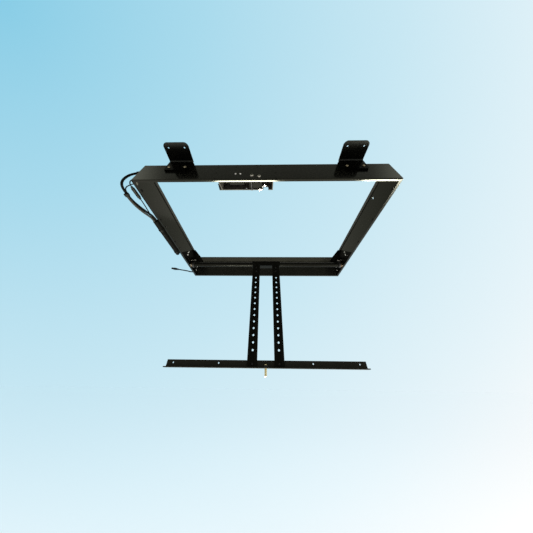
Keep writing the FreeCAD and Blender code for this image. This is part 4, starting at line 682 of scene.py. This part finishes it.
world = bpy.data.worlds.new("backdrop")
bpy.context.scene.world = world
world.use_nodes = True
tree = world.node_tree
direction = node(tree, "ShaderNodeTexCoord").outputs["Generated"]
seen = tree.nodes["Background"]
paths = node(tree, "ShaderNodeLightPath")
mirrored = node(tree, "ShaderNodeMix", data_type="RGBA")
mirrored.inputs["B"].default_value = MIRRORED_GREY
tree.links.new(paths.outputs["Is Glossy Ray"], mirrored.inputs["Factor"])
tree.links.new(paling(tree, direction), mirrored.inputs["A"])
tree.links.new(mirrored.outputs["Result"], seen.inputs["Color"])
facing = smooth_ramp(tree, along(tree, direction, FORWARD), 0.12, 0.3)
inward = smooth_ramp(tree, sum_of(tree, "ABSOLUTE", along(tree, direction, (1, 0, 0))), 0.66, 0.48)
shade = sum_of(tree, "MULTIPLY", facing, between(tree, inward, -ADDED_AT_SIDES, DIMMED_IN_FRONT))
shade = sum_of(tree, "MULTIPLY", shade, paths.outputs["Is Glossy Ray"])
tree.links.new(sum_of(tree, "SUBTRACT", 1.0, shade), seen.inputs["Strength"])
soft = node(tree, "ShaderNodeBackground", {"Color": (0.99, 0.995, 1.0, 1), "Strength": 1.01})
looked = sum_of(tree, "MAXIMUM", paths.outputs["Is Camera Ray"], paths.outputs["Is Glossy Ray"])
looked = sum_of(tree, "MAXIMUM", looked, paths.outputs["Is Transmission Ray"])
either = node(tree, "ShaderNodeMixShader")
tree.links.new(looked, either.inputs["Fac"])
tree.links.new(soft.outputs["Background"], either.inputs[1])
tree.links.new(seen.outputs["Background"], either.inputs[2])
tree.links.new(either.outputs["Shader"], tree.nodes["World Output"].inputs["Surface"])

# Floor: a pale matt sheet far below the part, with nothing standing on it.
# It takes the backdrop's colour as the first viewpoint sees it, set once, so it stays still in other views.
FLOOR_REACH, FLOOR_HEIGHT = 30, -1.3
corners = [(x * FLOOR_REACH, y * FLOOR_REACH, FLOOR_HEIGHT) for x, y in ((-1, -1), (1, -1), (1, 1), (-1, 1))]
floor_mesh = bpy.data.meshes.new("studio_floor")
floor_mesh.from_pydata(corners, [], [(0, 1, 2, 3)])
floor_paint = finish_of("pale studio floor", (0.71, 0.86, 0.92), 0.9, shine=0.02, grain=40.0, worn=0.02)
tree = floor_paint.node_tree
from_below = node(tree, "ShaderNodeVectorMath", operation="SUBTRACT")
from_below.inputs[1].default_value = viewpoint.matrix_world.translation
tree.links.new(node(tree, "ShaderNodeTexCoord").outputs["Object"], from_below.inputs[0])
tree.links.new(paling(tree, from_below.outputs["Vector"]), tree.nodes["Principled BSDF"].inputs["Base Color"])
floor_mesh.materials.append(floor_paint)
floor = bpy.data.objects.new("studio_floor", floor_mesh)
bpy.context.scene.collection.objects.link(floor)

# Lights: a broad soft one above and behind the part, and two low strips that the camera doesn't see.
# The strips draw the pale highlights on the frame's lower bend.


def softbox(name, place, target, width, height, power):
    """A rectangular soft light that the camera doesn't see."""
    lamp = bpy.data.lights.new(name, "AREA")
    lamp.shape = "RECTANGLE"
    lamp.size = width
    lamp.size_y = height
    lamp.energy = power
    lamp.color = (1.0, 0.97, 0.88)
    made = bpy.data.objects.new(name, lamp)
    made.location = place
    made.rotation_euler = (Vector(target) - Vector(place)).to_track_quat("-Z", "Y").to_euler()
    made.visible_camera = False
    bpy.context.scene.collection.objects.link(made)


softbox("overhead", (0.4, 1.2, 2.4), (0, 0.3, -0.1), 2.5, 2.5, 8)
softbox("low_strip_left", (-0.185, 0.6, -1.1), (-0.1, 0.05, -0.1), 0.56, 0.22, 40)
softbox("low_strip_right", (1.1, 0.62, -1.1), (0.35, 0.05, -0.1), 0.34, 0.18, 26)

bpy.context.scene.view_settings.view_transform = "Standard"
